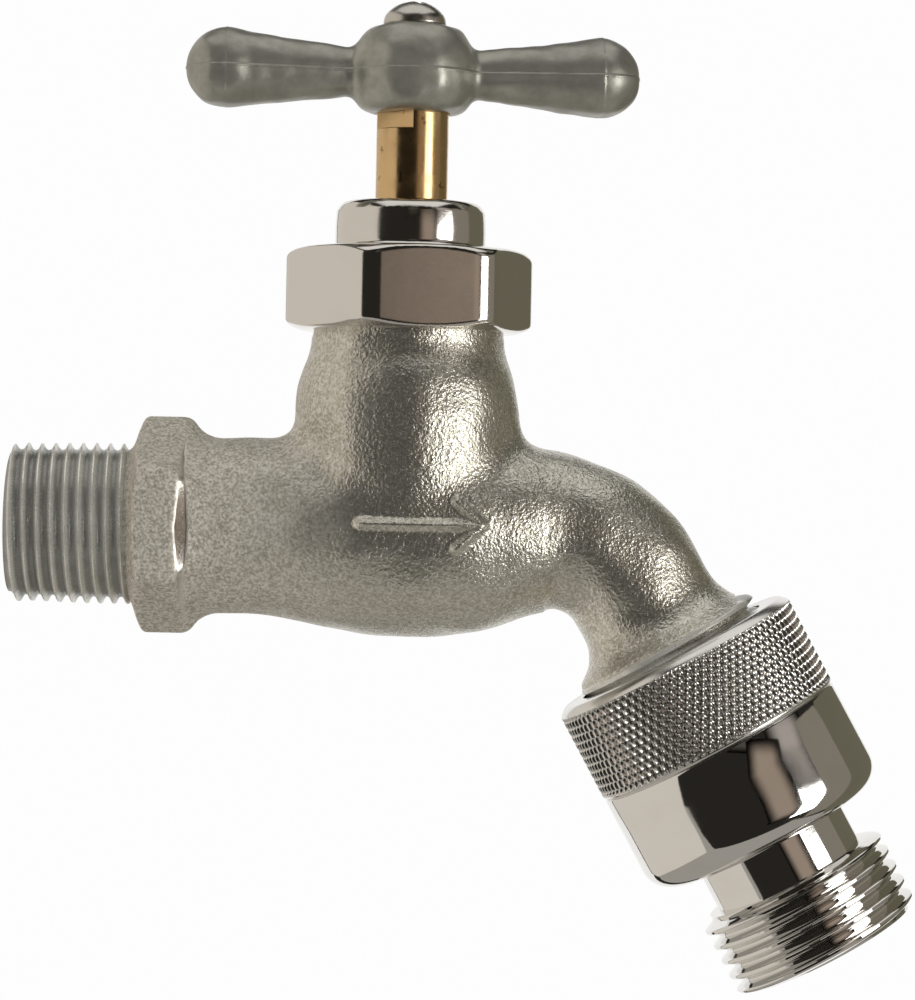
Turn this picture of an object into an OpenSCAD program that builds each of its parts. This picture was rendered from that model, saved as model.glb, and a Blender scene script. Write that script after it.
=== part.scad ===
// Hose bib: a cast compression valve with a tee handle, and a vacuum breaker on its outlet.
//
// Frame: the origin is the centre of the inlet's open end. +X runs along the inlet, into the
// valve, and +Z runs up along the stem. All sizes are in millimetres. The valve is drawn shut.

/* [Inlet] */
// Crest diameter of the pipe thread past its tapered turns
inlet_thread_d = 21.34; // [19:0.02:24]
// Axial distance from one pipe thread crest to the next
inlet_pitch = 1.814; // [1.4:0.002:2.1]
// Number of pipe thread turns
inlet_turns = 9; // [7:1:10]
// Height of a pipe thread above its root
inlet_thread_depth = 0.9; // [0.6:0.05:1.1]
// Bore of the inlet
inlet_bore_d = 14.5; // [12:0.5:15.5]
// Distance across the flats of the inlet's wrench hexagon
inlet_hex_af = 25.4; // [24:0.1:29]
// Width of the hexagon along the inlet
inlet_hex_w = 7.1; // [5:0.2:9]
// Plain length between the thread and the hexagon
inlet_runout = 0.3; // [0.2:0.1:3]

/* [Casting] */
// Distance from the inlet's open end to the stem's axis
stem_x = 52.1; // [48:0.5:64]
// Outer diameter of the barrel behind the hexagon
barrel_d = 23.4; // [22.5:0.1:25]
// Outer diameter of the barrel's belly under the stem
belly_d = 28.4; // [27:0.1:32]
// Outer diameter of the bulb around the valve chamber
bulb_d = 29.8; // [28:0.1:34]
// Height of the bulb's widest ring above the inlet's axis
bulb_z = 14.5; // [13:0.1:17]
// Wall of the casting
wall = 2.6; // [2:0.1:3]
// Diameter of the neck just under the packing nut
neck_d = 25.2; // [24.8:0.1:27]
// Height of the neck's top face above the inlet's axis
neck_top_z = 33.5; // [33:0.1:40]

/* [Spout] */
// Distance from the stem's axis to the start of the bend
bend_x = 18.6; // [17:0.1:23]
// Height of the bend's start above the inlet's axis
bend_z = 0.2; // [0:0.1:1]
// Radius of the bend's centreline
bend_r = 14.4; // [12:0.1:16]
// Angle that the bend turns through
bend_angle = 61; // [45:0.1:70]
// Outer diameter of the spout in the bend
spout_d = 20; // [18.6:0.1:21]
// Bore of the spout
spout_bore_d = 13.6; // [11:0.1:14.2]
// Straight length from the bend's end to the vacuum breaker
spout_straight = 9.6; // [9:0.1:14]

/* [Seat] */
// Bore of the valve seat
seat_bore_d = 10; // [9:0.1:11]
// Outer diameter of the seat's raised lip
seat_lip_d = 12.4; // [12:0.1:13]
// Height of the seat's lip above the bridge
seat_lip_h = 1.2; // [0.8:0.1:1.6]
// Thickness of the bridge under the seat
bridge_t = 3.2; // [2.6:0.1:3.8]
// Bore of the valve chamber above the bridge
chamber_d = 21.2; // [20:0.1:22]

/* [Stem] */
// Diameter of the stem's shaft
stem_d = 9.6; // [9.2:0.1:10.4]
// Crest diameter of the stem's thread
stem_thread_d = 16.4; // [16:0.1:17]
// Radial height of the stem's thread
stem_thread_depth = 1.2; // [0.9:0.1:1.3]
// Rise of the stem in one turn
stem_lead = 2.5; // [2.2:0.1:3]
// Number of turns on the stem
stem_turns = 5; // [4:1:5]
// Distance across the two flats on the stem's end
stem_flats_af = 7.2; // [6.6:0.1:7.4]
// Length of the flats that shows under the handle
stem_flats_show = 2.2; // [1:0.1:3]
// Height of the handle's underside above the inlet's axis
handle_z = 55.4; // [54:0.1:66]
// Radial gap of a shaft in its bore
running_gap = 0.06; // [0.03:0.01:0.09]
// Gap between two thread flanks, and over a thread's crest
thread_gap = 0.16; // [0.14:0.01:0.2]

/* [Packing nut] */
// Distance across the flats of the packing nut
nut_af = 29.8; // [29:0.1:33]
// Angle of the packing nut's corners from the inlet's axis
nut_angle = 10; // [0:1:59]
// Height of the packing nut's hexagon
nut_h = 11.05; // [10.5:0.05:12]
// Depth that the hexagon reaches below the neck's top face
nut_overlap = 7.3; // [6:0.1:8]
// Diameter of the crown at its foot
crown_d = 22; // [21:0.1:24]
// Height of the crown above the hexagon
crown_h = 6.3; // [6:0.05:8]
// Slope of the crown's side from the stem's axis, in degrees
crown_slope = 11.5; // [5:0.5:15]
// Crest diameter of the thread between neck and packing nut
nut_thread_d = 24.6; // [24:0.1:25]
// Outer diameter of the stem packing
packing_d = 16.7; // [15:0.1:17]
// Thickness of the brass washer under the packing
packing_washer_t = 1.5; // [1:0.1:1.8]
// Thickness of the nut's top wall over the packing
nut_top_t = 2.8; // [2:0.1:3.2]

/* [Handle] */
// Distance between the centres of the handle's two ends
handle_span = 49.8; // [42:0.1:60]
// Diameter of the handle's rounded ends
handle_end_d = 10.8; // [9:0.1:12]
// Diameter of the handle's arm where it is thinnest
handle_arm_d = 6.8; // [6:0.1:8]
// Diameter of the handle's hub
hub_d = 17; // [16:0.1:20]
// Height of the handle's hub
hub_h = 11.7; // [10.5:0.1:14]
// Angle of the handle from the inlet's axis
handle_angle = 5; // [0:1:90]
// Diameter of the handle screw's head
screw_head_d = 8.4; // [7:0.1:9]
// Height of the handle screw's head
screw_head_h = 3.3; // [2:0.1:4]

/* [Hose thread] */
// Crest diameter of the hose thread
hose_thread_d = 26.7; // [26.5:0.05:27]
// Axial distance from one hose thread crest to the next
hose_pitch = 2.209; // [2:0.001:2.4]
// Height of a hose thread above its root
hose_thread_depth = 1.35; // [1:0.05:1.43]
// Number of hose thread turns on the vacuum breaker's outlet
hose_turns = 5; // [4:1:7]

/* [Vacuum breaker] */
// Outer diameter of the knurled collar
collar_d = 34.2; // [33.8:0.1:38]
// Height of the knurled collar
collar_h = 13.4; // [13.2:0.1:15]
// Depth of the hose socket in the collar
socket_depth = 8; // [7:0.1:8.4]
// Thickness of the hose washer in the collar
gasket_t = 2.5; // [2:0.1:3]
// Outer diameter of the vacuum breaker's shell
shell_d = 34; // [33.6:0.1:38]
// Height of the shell from the collar to its shoulder
shell_h = 14.3; // [13.5:0.1:17]
// Radius of the shell's rounded shoulder
shoulder_r = 3.5; // [2:0.1:3.8]
// Diameter of the neck under the shoulder
outlet_neck_d = 20.8; // [20:0.1:22]
// Length of the neck under the shoulder
outlet_neck_h = 6; // [5:0.1:9]
// Bore of the shell around the check valve
check_bore_d = 15.8; // [15:0.1:16.4]
// Bore of the outlet below the check valve's guide
outlet_bore_d = 14.4; // [12:0.1:14.6]
// Diameter of each vent hole in the shoulder
vent_d = 1.8; // [1:0.1:2.2]
// Number of vent holes
vent_count = 6; // [3:1:12]
// Thickness of the rubber diaphragm
diaphragm_t = 1.5; // [1:0.1:2]
// Hole in the middle of the diaphragm
diaphragm_bore_d = 8; // [6:0.1:9]
// Travel of the check poppet
check_travel = 2.5; // [1.5:0.1:3]
// Diameter of the check poppet's head
poppet_d = 12; // [11:0.1:13]
// Diameter of the check poppet's stalk
stalk_d = 3; // [2.6:0.1:3.4]
// Wire diameter of the check spring
spring_wire_d = 0.7; // [0.5:0.05:0.8]

/* [Hidden] */
$fn = 64;
eps = 0.01;
clearance = 0.1; // between two still pieces that slip together
face_gap = 0.05; // between two faces that run on each other
thread_steps = 24; // flat steps in one turn of a swept thread or coil

// Inlet
taper = 1 / 32; // growth of the pipe thread's radius per millimetre
tapered_turns = 3; // further in, the crests stay at the pipe's own size
first_crest_x = 0.45; // the first crest's middle
inlet_thread_x = first_crest_x - inlet_pitch / 2;
inlet_thread_len = inlet_thread_x + inlet_pitch * inlet_turns;
hex_x = inlet_thread_len + inlet_runout;
hex_r = inlet_hex_af / 2 / cos(30);
hex_slope_w = 2.2; // the hexagon's sloped side towards the barrel
barrel_x = hex_x + inlet_hex_w + hex_slope_w / 2;

// Casting
barrel_r = barrel_d / 2;
belly_r = belly_d / 2;
bulb_r = bulb_d / 2;
spout_r = spout_d / 2;
tail_r = spout_r - 0.5; // the spout narrows a little towards its thread
bend_bore_r = spout_bore_d / 2 - 0.1; // a shade under the straight bores that meet it
duct_end = 7; // how far the duct under the seat passes the stem's axis
chamber_top_z = bulb_z + 2.5;

// Stem, upwards from the seat
seat_z = seat_lip_h;
washer_t = 3.8;
washer_r = seat_lip_d / 2 - 0.1;
cup_wall = 0.85;
cup_r = washer_r + clearance / 2 + cup_wall;
cup_lip_h = 2.4;
disc_z = seat_z + washer_t;
disc_t = 1.8;
spigot_r = 2.95;
spigot_neck_r = 2.3;
spigot_lip_t = 0.9;
spigot_h = 5.2;
stem_foot_z = disc_z + disc_t + face_gap;
stem_foot_h = 7.6;
stem_core_r = stem_thread_d / 2 - stem_thread_depth;
stem_foot_r = stem_core_r - 0.4;
stem_thread_z = stem_foot_z + stem_foot_h + stem_lead / 2;
stem_thread_len = stem_lead * stem_turns;
stem_thread_top = stem_thread_z + stem_thread_len;
core_end = stem_lead * 0.34; // how far the stem's thick part passes its thread
stem_top_z = handle_z + hub_h - 2.2;
neck_relief_h = 4;
thread_foot_w = stem_lead * 0.6;
thread_tip_w = stem_lead * 0.32;

// Packing nut
nut_z = neck_top_z - nut_overlap;
nut_r = nut_af / 2 / cos(30);
crown_z = nut_z + nut_h;
nut_top_z = crown_z + crown_h;
nut_thread_pitch = 1.5;
nut_thread_depth = 0.7;
packing_z = neck_top_z + packing_washer_t;
packing_h = nut_top_z - nut_top_t - packing_z;
nut_ceiling_z = packing_z;

// Handle
hub_mid_z = handle_z + hub_h / 2 - 0.5;
hub_top_z = handle_z + hub_h;
arm_neck_x = hub_d / 2 + 3;
screw_shank_r = 2;
screw_len = 7;

// Outlet axis, measured along it from the collar's top face
body_thread_top = -1.7;
body_thread_r = hose_thread_d / 2 - 0.35;
body_thread_turns = 4;
body_tail_z = socket_depth - eps;
gasket_z = socket_depth;
gasket_r = hose_thread_d / 2 + 0.3;
web_z = gasket_z + gasket_t;
web_t = 1.8;
spigot_out_r = collar_d / 2 - 2.1;
spigot_out_h = 3.1;
diaphragm_z = collar_h + spigot_out_h;
diaphragm_r = spigot_out_r - 1;
ledge_z = diaphragm_z + diaphragm_t;
vent_seat_z = ledge_z + 0.8;
check_bore_r = check_bore_d / 2;
vent_seat_r = check_bore_r + 1.5;
vent_pocket_r = diaphragm_r - 1.4;
vent_pocket_z = ledge_z + 6.5;
vent_ring_r = (vent_pocket_r + outlet_neck_d / 2) / 2 + 0.3;
shell_end = collar_h + shell_h;
outlet_thread_z = shell_end + outlet_neck_h;
outlet_end = outlet_thread_z + hose_pitch * hose_turns;
poppet_z = ledge_z + face_gap;
poppet_t = 2;
spring_z = poppet_z + poppet_t;
guide_z = spring_z + check_travel + 5.5;
guide_t = 3;
guide_shoulder_z = guide_z + guide_t;
clip_z = guide_shoulder_z + face_gap;
clip_t = 0.8;
stalk_end = clip_z + clip_t + 1.2;
spring_r = stalk_d / 2 + 1.6;
spring_turns = 5;

set_screw_r = 2;
set_screw_z = socket_depth / 2;

// ---------------------------------------------------------------- shared shapes

// Carries its children from the Z axis to the inlet's axis.
module on_inlet() rotate([0, 90, 0]) children();

// Carries its children from the Z axis to the stem's axis.
module on_stem() translate([stem_x, 0, 0]) children();

// Carries its children from the Z axis to the outlet's axis, with zero at the collar's top face.
module on_outlet()
    translate([stem_x + bend_x, 0, bend_z - bend_r])
        rotate([0, bend_angle, 0]) translate([spout_straight, 0, bend_r])
            rotate([0, 90, 0]) children();

// A round bar from height z0 to z1.
module rod(r, z0, z1) translate([0, 0, z0]) cylinder(r = r, h = z1 - z0);

// A flat ring from height z0 to z1.
module ring(r_out, r_in, z0, z1) difference() {
    rod(r_out, z0, z1);
    rod(r_in, z0 - 1, z1 + 1);
}

// A hexagonal bar whose corners are cut back by cones at both ends.
module hex_bar(r, z0, z1, cut0, cut1) intersection() {
    translate([0, 0, z0]) cylinder(r = r, h = z1 - z0, $fn = 6);
    rotate_extrude() polygon([
        [0, z0], [r - cut0[0], z0], [r, z0 + cut0[1]],
        [r, z1 - cut1[1]], [r - cut1[0], z1], [0, z1]
    ]);
}

// The outline of a thread cut as rings: each crest is a short true cylinder.
function ring_outline(z0, turns, pitch, r, depth, flat, grow = 0, grown = 0) = [
    for (k = [0 : turns - 1])
        let (z = z0 + (k + 0.5) * pitch, rc = r + grow * min(k - grown, 0) * pitch)
            each [
                [rc - depth, z - pitch / 2 + flat / 2], [rc, z - flat / 2],
                [rc, z + flat / 2], [rc - depth, z + pitch / 2 - flat / 2]
            ]
];

// A solid bar that carries a thread cut as rings.
module ring_thread(z0, turns, pitch, r, depth, flat, grow = 0, grown = 0) {
    rings = ring_outline(z0, turns, pitch, r, depth, flat, grow, grown);
    rotate_extrude() polygon(concat(
        [[0, z0], [rings[0][0], z0]], rings,
        [[rings[len(rings) - 1][0], z0 + turns * pitch], [0, z0 + turns * pitch]]
    ));
}

// The faces of a tube made of n sections with m corners each, as triangles.
function sweep_faces(n, m) = concat(
    [[for (j = [m - 1 : -1 : 0]) j]],
    [for (i = [0 : n - 2], j = [0 : m - 1]) each [
        [i * m + j, i * m + (j + 1) % m, (i + 1) * m + (j + 1) % m],
        [i * m + j, (i + 1) * m + (j + 1) % m, (i + 1) * m + j]
    ]],
    [[for (j = [0 : m - 1]) (n - 1) * m + j]]
);

// Sweeps a closed outline, given as [radius, height] pairs, along a helix.
module helix(outline, lead, turns) {
    steps = turns * thread_steps;
    points = [
        for (i = [0 : steps])
            let (a = 360 * i / thread_steps, z = lead * i / thread_steps)
                for (p = outline) [p[0] * cos(a), p[0] * sin(a), p[1] + z]
    ];
    polyhedron(points, sweep_faces(steps + 1, len(outline)), convexity = 10);
}

// The ridge of the stem's thread, grown on every side by a gap for the matching groove.
module stem_ridge(turns, gap) {
    tip = stem_thread_d / 2 + gap;
    foot = stem_core_r - 0.4;
    helix([
        [foot, -thread_foot_w / 2 - gap], [tip, -thread_tip_w / 2 - gap],
        [tip, thread_tip_w / 2 + gap], [foot, thread_foot_w / 2 + gap]
    ], stem_lead, turns);
}

// ---------------------------------------------------------------- valve body

// The barrel's outer radius at x: level behind the hexagon, swollen under the stem.
function barrel_radius(x) =
    let (
        rise = barrel_x + 6,
        fall = stem_x + bend_x,
        crest = stem_x - 1.5,
        peak = stem_x + 3,
        tip = spout_r + 0.4,
        up = min(max((x - rise) / (crest - rise), 0), 1),
        down = min(max((x - peak) / (fall - peak), 0), 1)
    )
    x < peak
        ? barrel_r + (belly_r - barrel_r) * (1 - cos(180 * up)) / 2
        : belly_r - (belly_r - tip) * (1 - cos(90 * down));

// The barrel, or the space inside it when it is drawn smaller by inset.
module barrel(x0, x1, inset = 0) {
    steps = 20;
    on_inlet() rotate_extrude() polygon(concat(
        [[0, x0]],
        [for (i = [0 : steps]) let (x = x0 + (x1 - x0) * i / steps) [barrel_radius(x) - inset, x]],
        [[0, x1]]
    ));
}

// The bulb around the valve chamber, drawn in to the neck above it.
module bulb() {
    steps = 12;
    foot_z = -4;
    on_stem() rotate_extrude() polygon(concat(
        [[0, foot_z], [bulb_r - 2.5, foot_z], [bulb_r, bulb_z - 3], [bulb_r, bulb_z]],
        [for (i = [0 : steps]) let (t = i / steps) [
            neck_d / 2 + (bulb_r - neck_d / 2) * (1 + cos(180 * t)) / 2,
            bulb_z + 2.5 + (nut_z - 3.7 - bulb_z) * t
        ]],
        [[neck_d / 2, nut_z], [0, nut_z]]
    ));
}

// The bend, drawn at the spout's size or at its bore's.
module bend(r) translate([stem_x + bend_x, 0, bend_z - bend_r])
    rotate([90, 0, 0]) rotate_extrude(start = 90 - bend_angle, angle = bend_angle)
        translate([bend_r, 0]) circle(r = r);

// The straight tail of the spout, flared to the lip under its hose thread.
module tail() {
    lip_r = body_thread_r - 0.55;
    on_outlet() {
        rod(tail_r, -spout_straight - 0.5, body_thread_top);
        rotate_extrude() polygon([
            [0, body_thread_top - 4.2], [tail_r, body_thread_top - 4.2],
            [tail_r + 0.5, body_thread_top - 2.6], [tail_r + 1.5, body_thread_top - 1.2],
            [lip_r, body_thread_top], [0, body_thread_top]
        ]);
        body_hose_thread(0);
        rod(body_thread_r - hose_thread_depth,
            body_thread_top + body_thread_turns * hose_pitch - eps, body_tail_z);
    }
}

// The hose thread on the valve body, or the space for it in the collar.
module body_hose_thread(gap) ring_thread(
    body_thread_top, body_thread_turns, hose_pitch,
    body_thread_r + gap, hose_thread_depth, hose_pitch * 0.2
);

// The pipe thread and the wrench hexagon.
module inlet_end() on_inlet() {
    intersection() {
        ring_thread(inlet_thread_x, inlet_turns, inlet_pitch, inlet_thread_d / 2,
            inlet_thread_depth, inlet_pitch * 0.16, taper, tapered_turns);
        rod(inlet_thread_d, 0, inlet_thread_len);
    }
    rod(inlet_thread_d / 2 - inlet_thread_depth, inlet_thread_len - eps, hex_x + 1);
    hex_bar(hex_r, hex_x, hex_x + inlet_hex_w + hex_slope_w, [3, 1.2], [3, hex_slope_w]);
}

// A plain raised arrow on the casting's side that shows the way of the flow.
module flow_arrow() translate([stem_x + 3, -belly_r + 1.6, 0.8]) rotate([90, 0, 0])
    linear_extrude(height = 2.1) polygon([
        [-9, -1], [3, -1], [3, -2.8], [8, 0], [3, 2.8], [3, 1], [-9, 1]
    ]);

// All the space that water fills inside the casting.
module waterway() {
    duct_x = barrel_x + 4;
    web_x = stem_x - chamber_d / 2 - 3.4;
    on_inlet() rod(inlet_bore_d / 2, -1, web_x);
    intersection() {
        barrel(duct_x, stem_x + duct_end, wall);
        translate([duct_x - 1, -belly_r, -belly_r - bridge_t])
            cube([stem_x + duct_end - duct_x + 2, 2 * belly_r, belly_r]);
    }
    on_stem() {
        rod(seat_bore_d / 2, -bridge_t - 1, 1);
        rod(chamber_d / 2, 0, chamber_top_z);
    }
    on_inlet() translate([-bend_z, 0, 0])
        rod(spout_bore_d / 2, stem_x + chamber_d / 2 - 1.2, stem_x + bend_x + eps);
    bend(bend_bore_r);
    on_outlet() rod(spout_bore_d / 2, -spout_straight - eps, body_tail_z + 1);
}

module valve_body() color("silver") {
    difference() {
        union() {
            inlet_end();
            barrel(barrel_x - 1, stem_x + bend_x);
            bulb();
            on_stem() ring_thread(nut_z - eps, floor(nut_overlap / nut_thread_pitch),
                nut_thread_pitch, nut_thread_d / 2, nut_thread_depth, 0.3);
            on_stem() rod(nut_thread_d / 2 - nut_thread_depth, nut_z, neck_top_z);
            bend(spout_r);
            tail();
            flow_arrow();
        }
        waterway();
        on_stem() {
            rod(stem_core_r + 0.2, chamber_top_z - 1, neck_top_z + 1);
            rod(stem_thread_d / 2 + thread_gap + 0.2, neck_top_z - neck_relief_h, neck_top_z + 1);
            translate([0, 0, stem_thread_z]) stem_ridge(stem_turns + 2, thread_gap);
        }
        set_screw_space(clearance);
    }
    on_stem() ring(seat_lip_d / 2, seat_bore_d / 2, -eps, seat_z);
}

// ---------------------------------------------------------------- stem and its washer

// The flattened end that drives the handle, drawn larger by gap for the handle's socket.
module stem_end(z0, z1, gap = 0) intersection() {
    rod(stem_d / 2 + gap, z0, z1);
    rotate([0, 0, handle_angle + 46]) translate([-stem_flats_af / 2 - gap, -stem_d, z0 - 1])
        cube([stem_flats_af + 2 * gap, 2 * stem_d, z1 - z0 + 2]);
}

module stem() color("goldenrod") on_stem() difference() {
    shoulder_z = handle_z - stem_flats_show;
    union() {
        rod(stem_foot_r, stem_foot_z, stem_thread_z);
        rod(stem_core_r, stem_thread_z - stem_lead / 2, stem_thread_top + core_end);
        rotate_extrude() polygon([
            [0, stem_thread_top], [stem_core_r, stem_thread_top + core_end - eps],
            [stem_core_r, stem_thread_top + core_end],
            [stem_d / 2, stem_thread_top + core_end + 0.6],
            [stem_d / 2, shoulder_z], [0, shoulder_z]
        ]);
        stem_end(shoulder_z - 1, stem_top_z);
        translate([0, 0, stem_thread_z]) stem_ridge(stem_turns, 0);
    }
    rod(spigot_neck_r + 0.12, stem_foot_z - 1, stem_foot_z + spigot_lip_t + 0.1);
    rod(spigot_r + 0.12, stem_foot_z + spigot_lip_t, stem_foot_z + spigot_h + 0.4);
    rod(screw_shank_r + eps, hub_top_z - screw_len - 0.5, stem_top_z + 1);
}

module swivel_disc() color("peru") on_stem() difference() {
    union() {
        rod(cup_r, disc_z - cup_lip_h, disc_z + disc_t);
        rod(spigot_neck_r, disc_z, stem_foot_z + spigot_lip_t + 1);
        rod(spigot_r, stem_foot_z + spigot_lip_t + 0.2, stem_foot_z + spigot_h);
    }
    rod(washer_r + clearance / 2, disc_z - cup_lip_h - 1, disc_z);
    rod(1.6 + eps, disc_z - 1, disc_z + 4.4);
}

module seat_washer() color("dimgray") on_stem() difference() {
    rotate_extrude() polygon([
        [0, seat_z], [washer_r - 0.4, seat_z], [washer_r, seat_z + 0.4],
        [washer_r, disc_z], [0, disc_z]
    ]);
    rod(1.7, seat_z - 1, disc_z + 1);
}

module washer_screw() color("gold") on_stem() difference() {
    union() {
        rod(3.2, seat_z - 1.5, seat_z);
        rod(1.6, seat_z - eps, disc_z + 4);
    }
    translate([-3.5, -0.4, seat_z - 1.6]) cube([7, 0.8, 0.8]);
}

// ---------------------------------------------------------------- packing and its nut

module packing_washer() color("darkgoldenrod") on_stem()
    ring(nut_thread_d / 2 - nut_thread_depth - 0.4, stem_d / 2 + running_gap,
        neck_top_z, packing_z);

module stem_packing() color("darkslategray") on_stem()
    ring(packing_d / 2, stem_d / 2 + running_gap, packing_z, packing_z + packing_h);

module packing_nut() color("gainsboro") on_stem() difference() {
    crown_r = crown_d / 2;
    top_r = crown_r - crown_h * tan(crown_slope);
    union() {
        rotate([0, 0, nut_angle]) hex_bar(nut_r, nut_z, crown_z, [2.8, 1.3], [2.4, 1.2]);
        rotate_extrude() polygon([
            [0, crown_z - 1], [crown_r, crown_z - 1], [crown_r, crown_z],
            [top_r + 0.3, nut_top_z - 1.3], [top_r - 0.6, nut_top_z], [0, nut_top_z]
        ]);
    }
    ring_thread(nut_z - nut_thread_pitch - eps, floor(nut_overlap / nut_thread_pitch) + 1,
        nut_thread_pitch, nut_thread_d / 2 + clearance, nut_thread_depth, 0.3);
    rod(nut_thread_d / 2 - nut_thread_depth + clearance, nut_z, nut_ceiling_z);
    rod(packing_d / 2 + eps, nut_ceiling_z - 1, packing_z + packing_h);
    rod(stem_d / 2 + running_gap, packing_z, nut_top_z + 1);
}

// ---------------------------------------------------------------- handle

// One arm of the handle: a cone from the hub to a round end.
module handle_arm() {
    end_x = handle_span / 2;
    rotate([0, 90, 0]) {
        translate([0, 0, arm_neck_x - eps])
            cylinder(r1 = handle_arm_d / 2, r2 = handle_end_d / 2 - 0.25, h = end_x - arm_neck_x);
        translate([0, 0, 2])
            cylinder(r1 = hub_d / 2 - 3.2, r2 = handle_arm_d / 2, h = arm_neck_x - 2);
        translate([0, 0, end_x]) sphere(r = handle_end_d / 2);
    }
}

module handle() color("darkgray") on_stem() difference() {
    union() {
        intersection() {
            translate([0, 0, hub_mid_z]) sphere(r = hub_d / 2);
            rod(hub_d, handle_z, hub_top_z);
        }
        translate([0, 0, hub_mid_z]) rotate([0, 0, handle_angle])
            for (side = [0, 180]) rotate([0, 0, side]) handle_arm();
    }
    stem_end(handle_z - 1, stem_top_z + 0.4, clearance / 2);
    rod(screw_shank_r + 0.3, stem_top_z, hub_top_z + 1);
}

module handle_screw() color("lightgray") on_stem() difference() {
    dome_r = (pow(screw_head_d / 2, 2) + pow(screw_head_h - 1, 2)) / (2 * (screw_head_h - 1));
    union() {
        rod(screw_head_d / 2, hub_top_z, hub_top_z + 1);
        intersection() {
            translate([0, 0, hub_top_z + screw_head_h - dome_r]) sphere(r = dome_r);
            rod(screw_head_d / 2, hub_top_z + 1 - eps, hub_top_z + screw_head_h);
        }
        rod(screw_shank_r, hub_top_z - screw_len, hub_top_z + eps);
    }
    for (turn = [0, 90]) rotate([0, 0, turn + 30])
        translate([-2.2, -0.5, hub_top_z + screw_head_h - 1.8]) cube([4.4, 1, 3]);
}

// ---------------------------------------------------------------- vacuum breaker

module knurled_collar() color("whitesmoke") difference() {
    on_outlet() difference() {
        union() {
            rotate_extrude() polygon([
                [0, 0], [collar_d / 2 - 0.8, 0], [collar_d / 2, 0.8],
                [collar_d / 2, collar_h - 0.4], [collar_d / 2 - 0.4, collar_h], [0, collar_h]
            ]);
            rod(spigot_out_r, collar_h - eps, diaphragm_z);
        }
        body_hose_thread(thread_gap);
        rod(body_thread_r - hose_thread_depth + thread_gap, -1, web_z);
        rod(gasket_r + 0.1, gasket_z - 0.5, web_z);
        rod(spout_bore_d / 2 + 0.5, web_z - 1, web_z + web_t + 1);
        rod(diaphragm_r - 1.5, web_z + web_t, diaphragm_z + 1);
    }
    set_screw_space(eps);
}

module hose_washer() color("black") on_outlet()
    ring(gasket_r, spout_bore_d / 2 + 1, gasket_z, web_z);

// Where the break-off screw crosses the collar into the body's thread, on the far side.
module set_screw_space(gap) on_outlet() translate([0, 0, set_screw_z]) rotate([-90, 0, 0])
    rod(set_screw_r + gap, hose_thread_d / 2 - 1 - gap, collar_d / 2 + 1);

module break_off_screw() color("burlywood") on_outlet() translate([0, 0, set_screw_z])
    rotate([-90, 0, 0]) rod(set_screw_r, hose_thread_d / 2 - 1, collar_d / 2 - 0.3);

module breaker_shell() color("whitesmoke") on_outlet() difference() {
    union() {
        rotate_extrude() {
            square_top = shell_d / 2;
            translate([0, collar_h]) square([square_top, shell_h - shoulder_r]);
            translate([0, collar_h]) square([square_top - shoulder_r, shell_h]);
            translate([square_top - shoulder_r, shell_end - shoulder_r]) circle(r = shoulder_r);
        }
        rod(outlet_neck_d / 2, shell_end - 1, outlet_thread_z);
        ring_thread(outlet_thread_z - eps, hose_turns, hose_pitch,
            hose_thread_d / 2, hose_thread_depth, hose_pitch * 0.2);
    }
    rod(spigot_out_r + clearance / 2, collar_h - 1, diaphragm_z);
    rod(diaphragm_r + clearance, diaphragm_z - 1, ledge_z);
    rod(vent_pocket_r, ledge_z - 1, vent_seat_z);
    ring(vent_pocket_r, vent_seat_r, vent_seat_z - eps, vent_pocket_z);
    rod(check_bore_r, ledge_z, guide_shoulder_z);
    rod(outlet_bore_d / 2, guide_shoulder_z - 1, outlet_end + 1);
    for (k = [0 : vent_count - 1]) rotate([0, 0, 360 * k / vent_count])
        translate([vent_ring_r, 0, 0]) rod(vent_d / 2, vent_pocket_z - 1, shell_end + 1);
}

module diaphragm() color("dimgray") on_outlet() difference() {
    rod(diaphragm_r, diaphragm_z, ledge_z);
    rod(diaphragm_bore_d / 2, diaphragm_z - 1, ledge_z + 1);
    ring(diaphragm_r - 2.2, diaphragm_r - 3.4, diaphragm_z - 1, diaphragm_z + 0.5);
}

module check_poppet() color("ivory") on_outlet() difference() {
    union() {
        rotate_extrude() polygon([
            [0, poppet_z - 1.6], [1.4, poppet_z - 1.4], [diaphragm_bore_d / 2 - 0.8, poppet_z],
            [poppet_d / 2, poppet_z], [poppet_d / 2, poppet_z + 1.2],
            [poppet_d / 2 - 1, spring_z], [0, spring_z]
        ]);
        rod(stalk_d / 2, spring_z - eps, stalk_end);
    }
    ring(stalk_d, stalk_d / 2 - 0.4, clip_z, clip_z + clip_t);
}

module check_spring() color("lightsteelblue") on_outlet() {
    sides = 8;
    wire = spring_wire_d / 2;
    rise = (guide_z - spring_z - 2 * face_gap - spring_wire_d) / spring_turns;
    translate([0, 0, spring_z + face_gap + wire]) helix(
        [for (k = [0 : sides - 1]) [
            spring_r + wire * cos(360 * k / sides), wire * sin(360 * k / sides)
        ]],
        rise, spring_turns
    );
}

module check_guide() color("ivory") on_outlet() {
    rim_r = check_bore_r - clearance;
    hub_r = stalk_d / 2 + 1.8;
    ring(rim_r, rim_r - 1.3, guide_z, guide_shoulder_z);
    ring(hub_r, stalk_d / 2 + running_gap, guide_z, guide_shoulder_z);
    for (k = [0 : 2]) rotate([0, 0, 120 * k])
        translate([hub_r - 0.3, -0.6, guide_z]) cube([rim_r - hub_r - 0.6, 1.2, guide_t]);
}

module check_clip() color("lightsteelblue") on_outlet() difference() {
    ring(stalk_d / 2 + 1, stalk_d / 2 - 0.4 + eps, clip_z + eps, clip_z + clip_t - eps);
    translate([0, -0.7, clip_z - 1]) cube([stalk_d, 1.4, clip_t + 2]);
}

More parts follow.
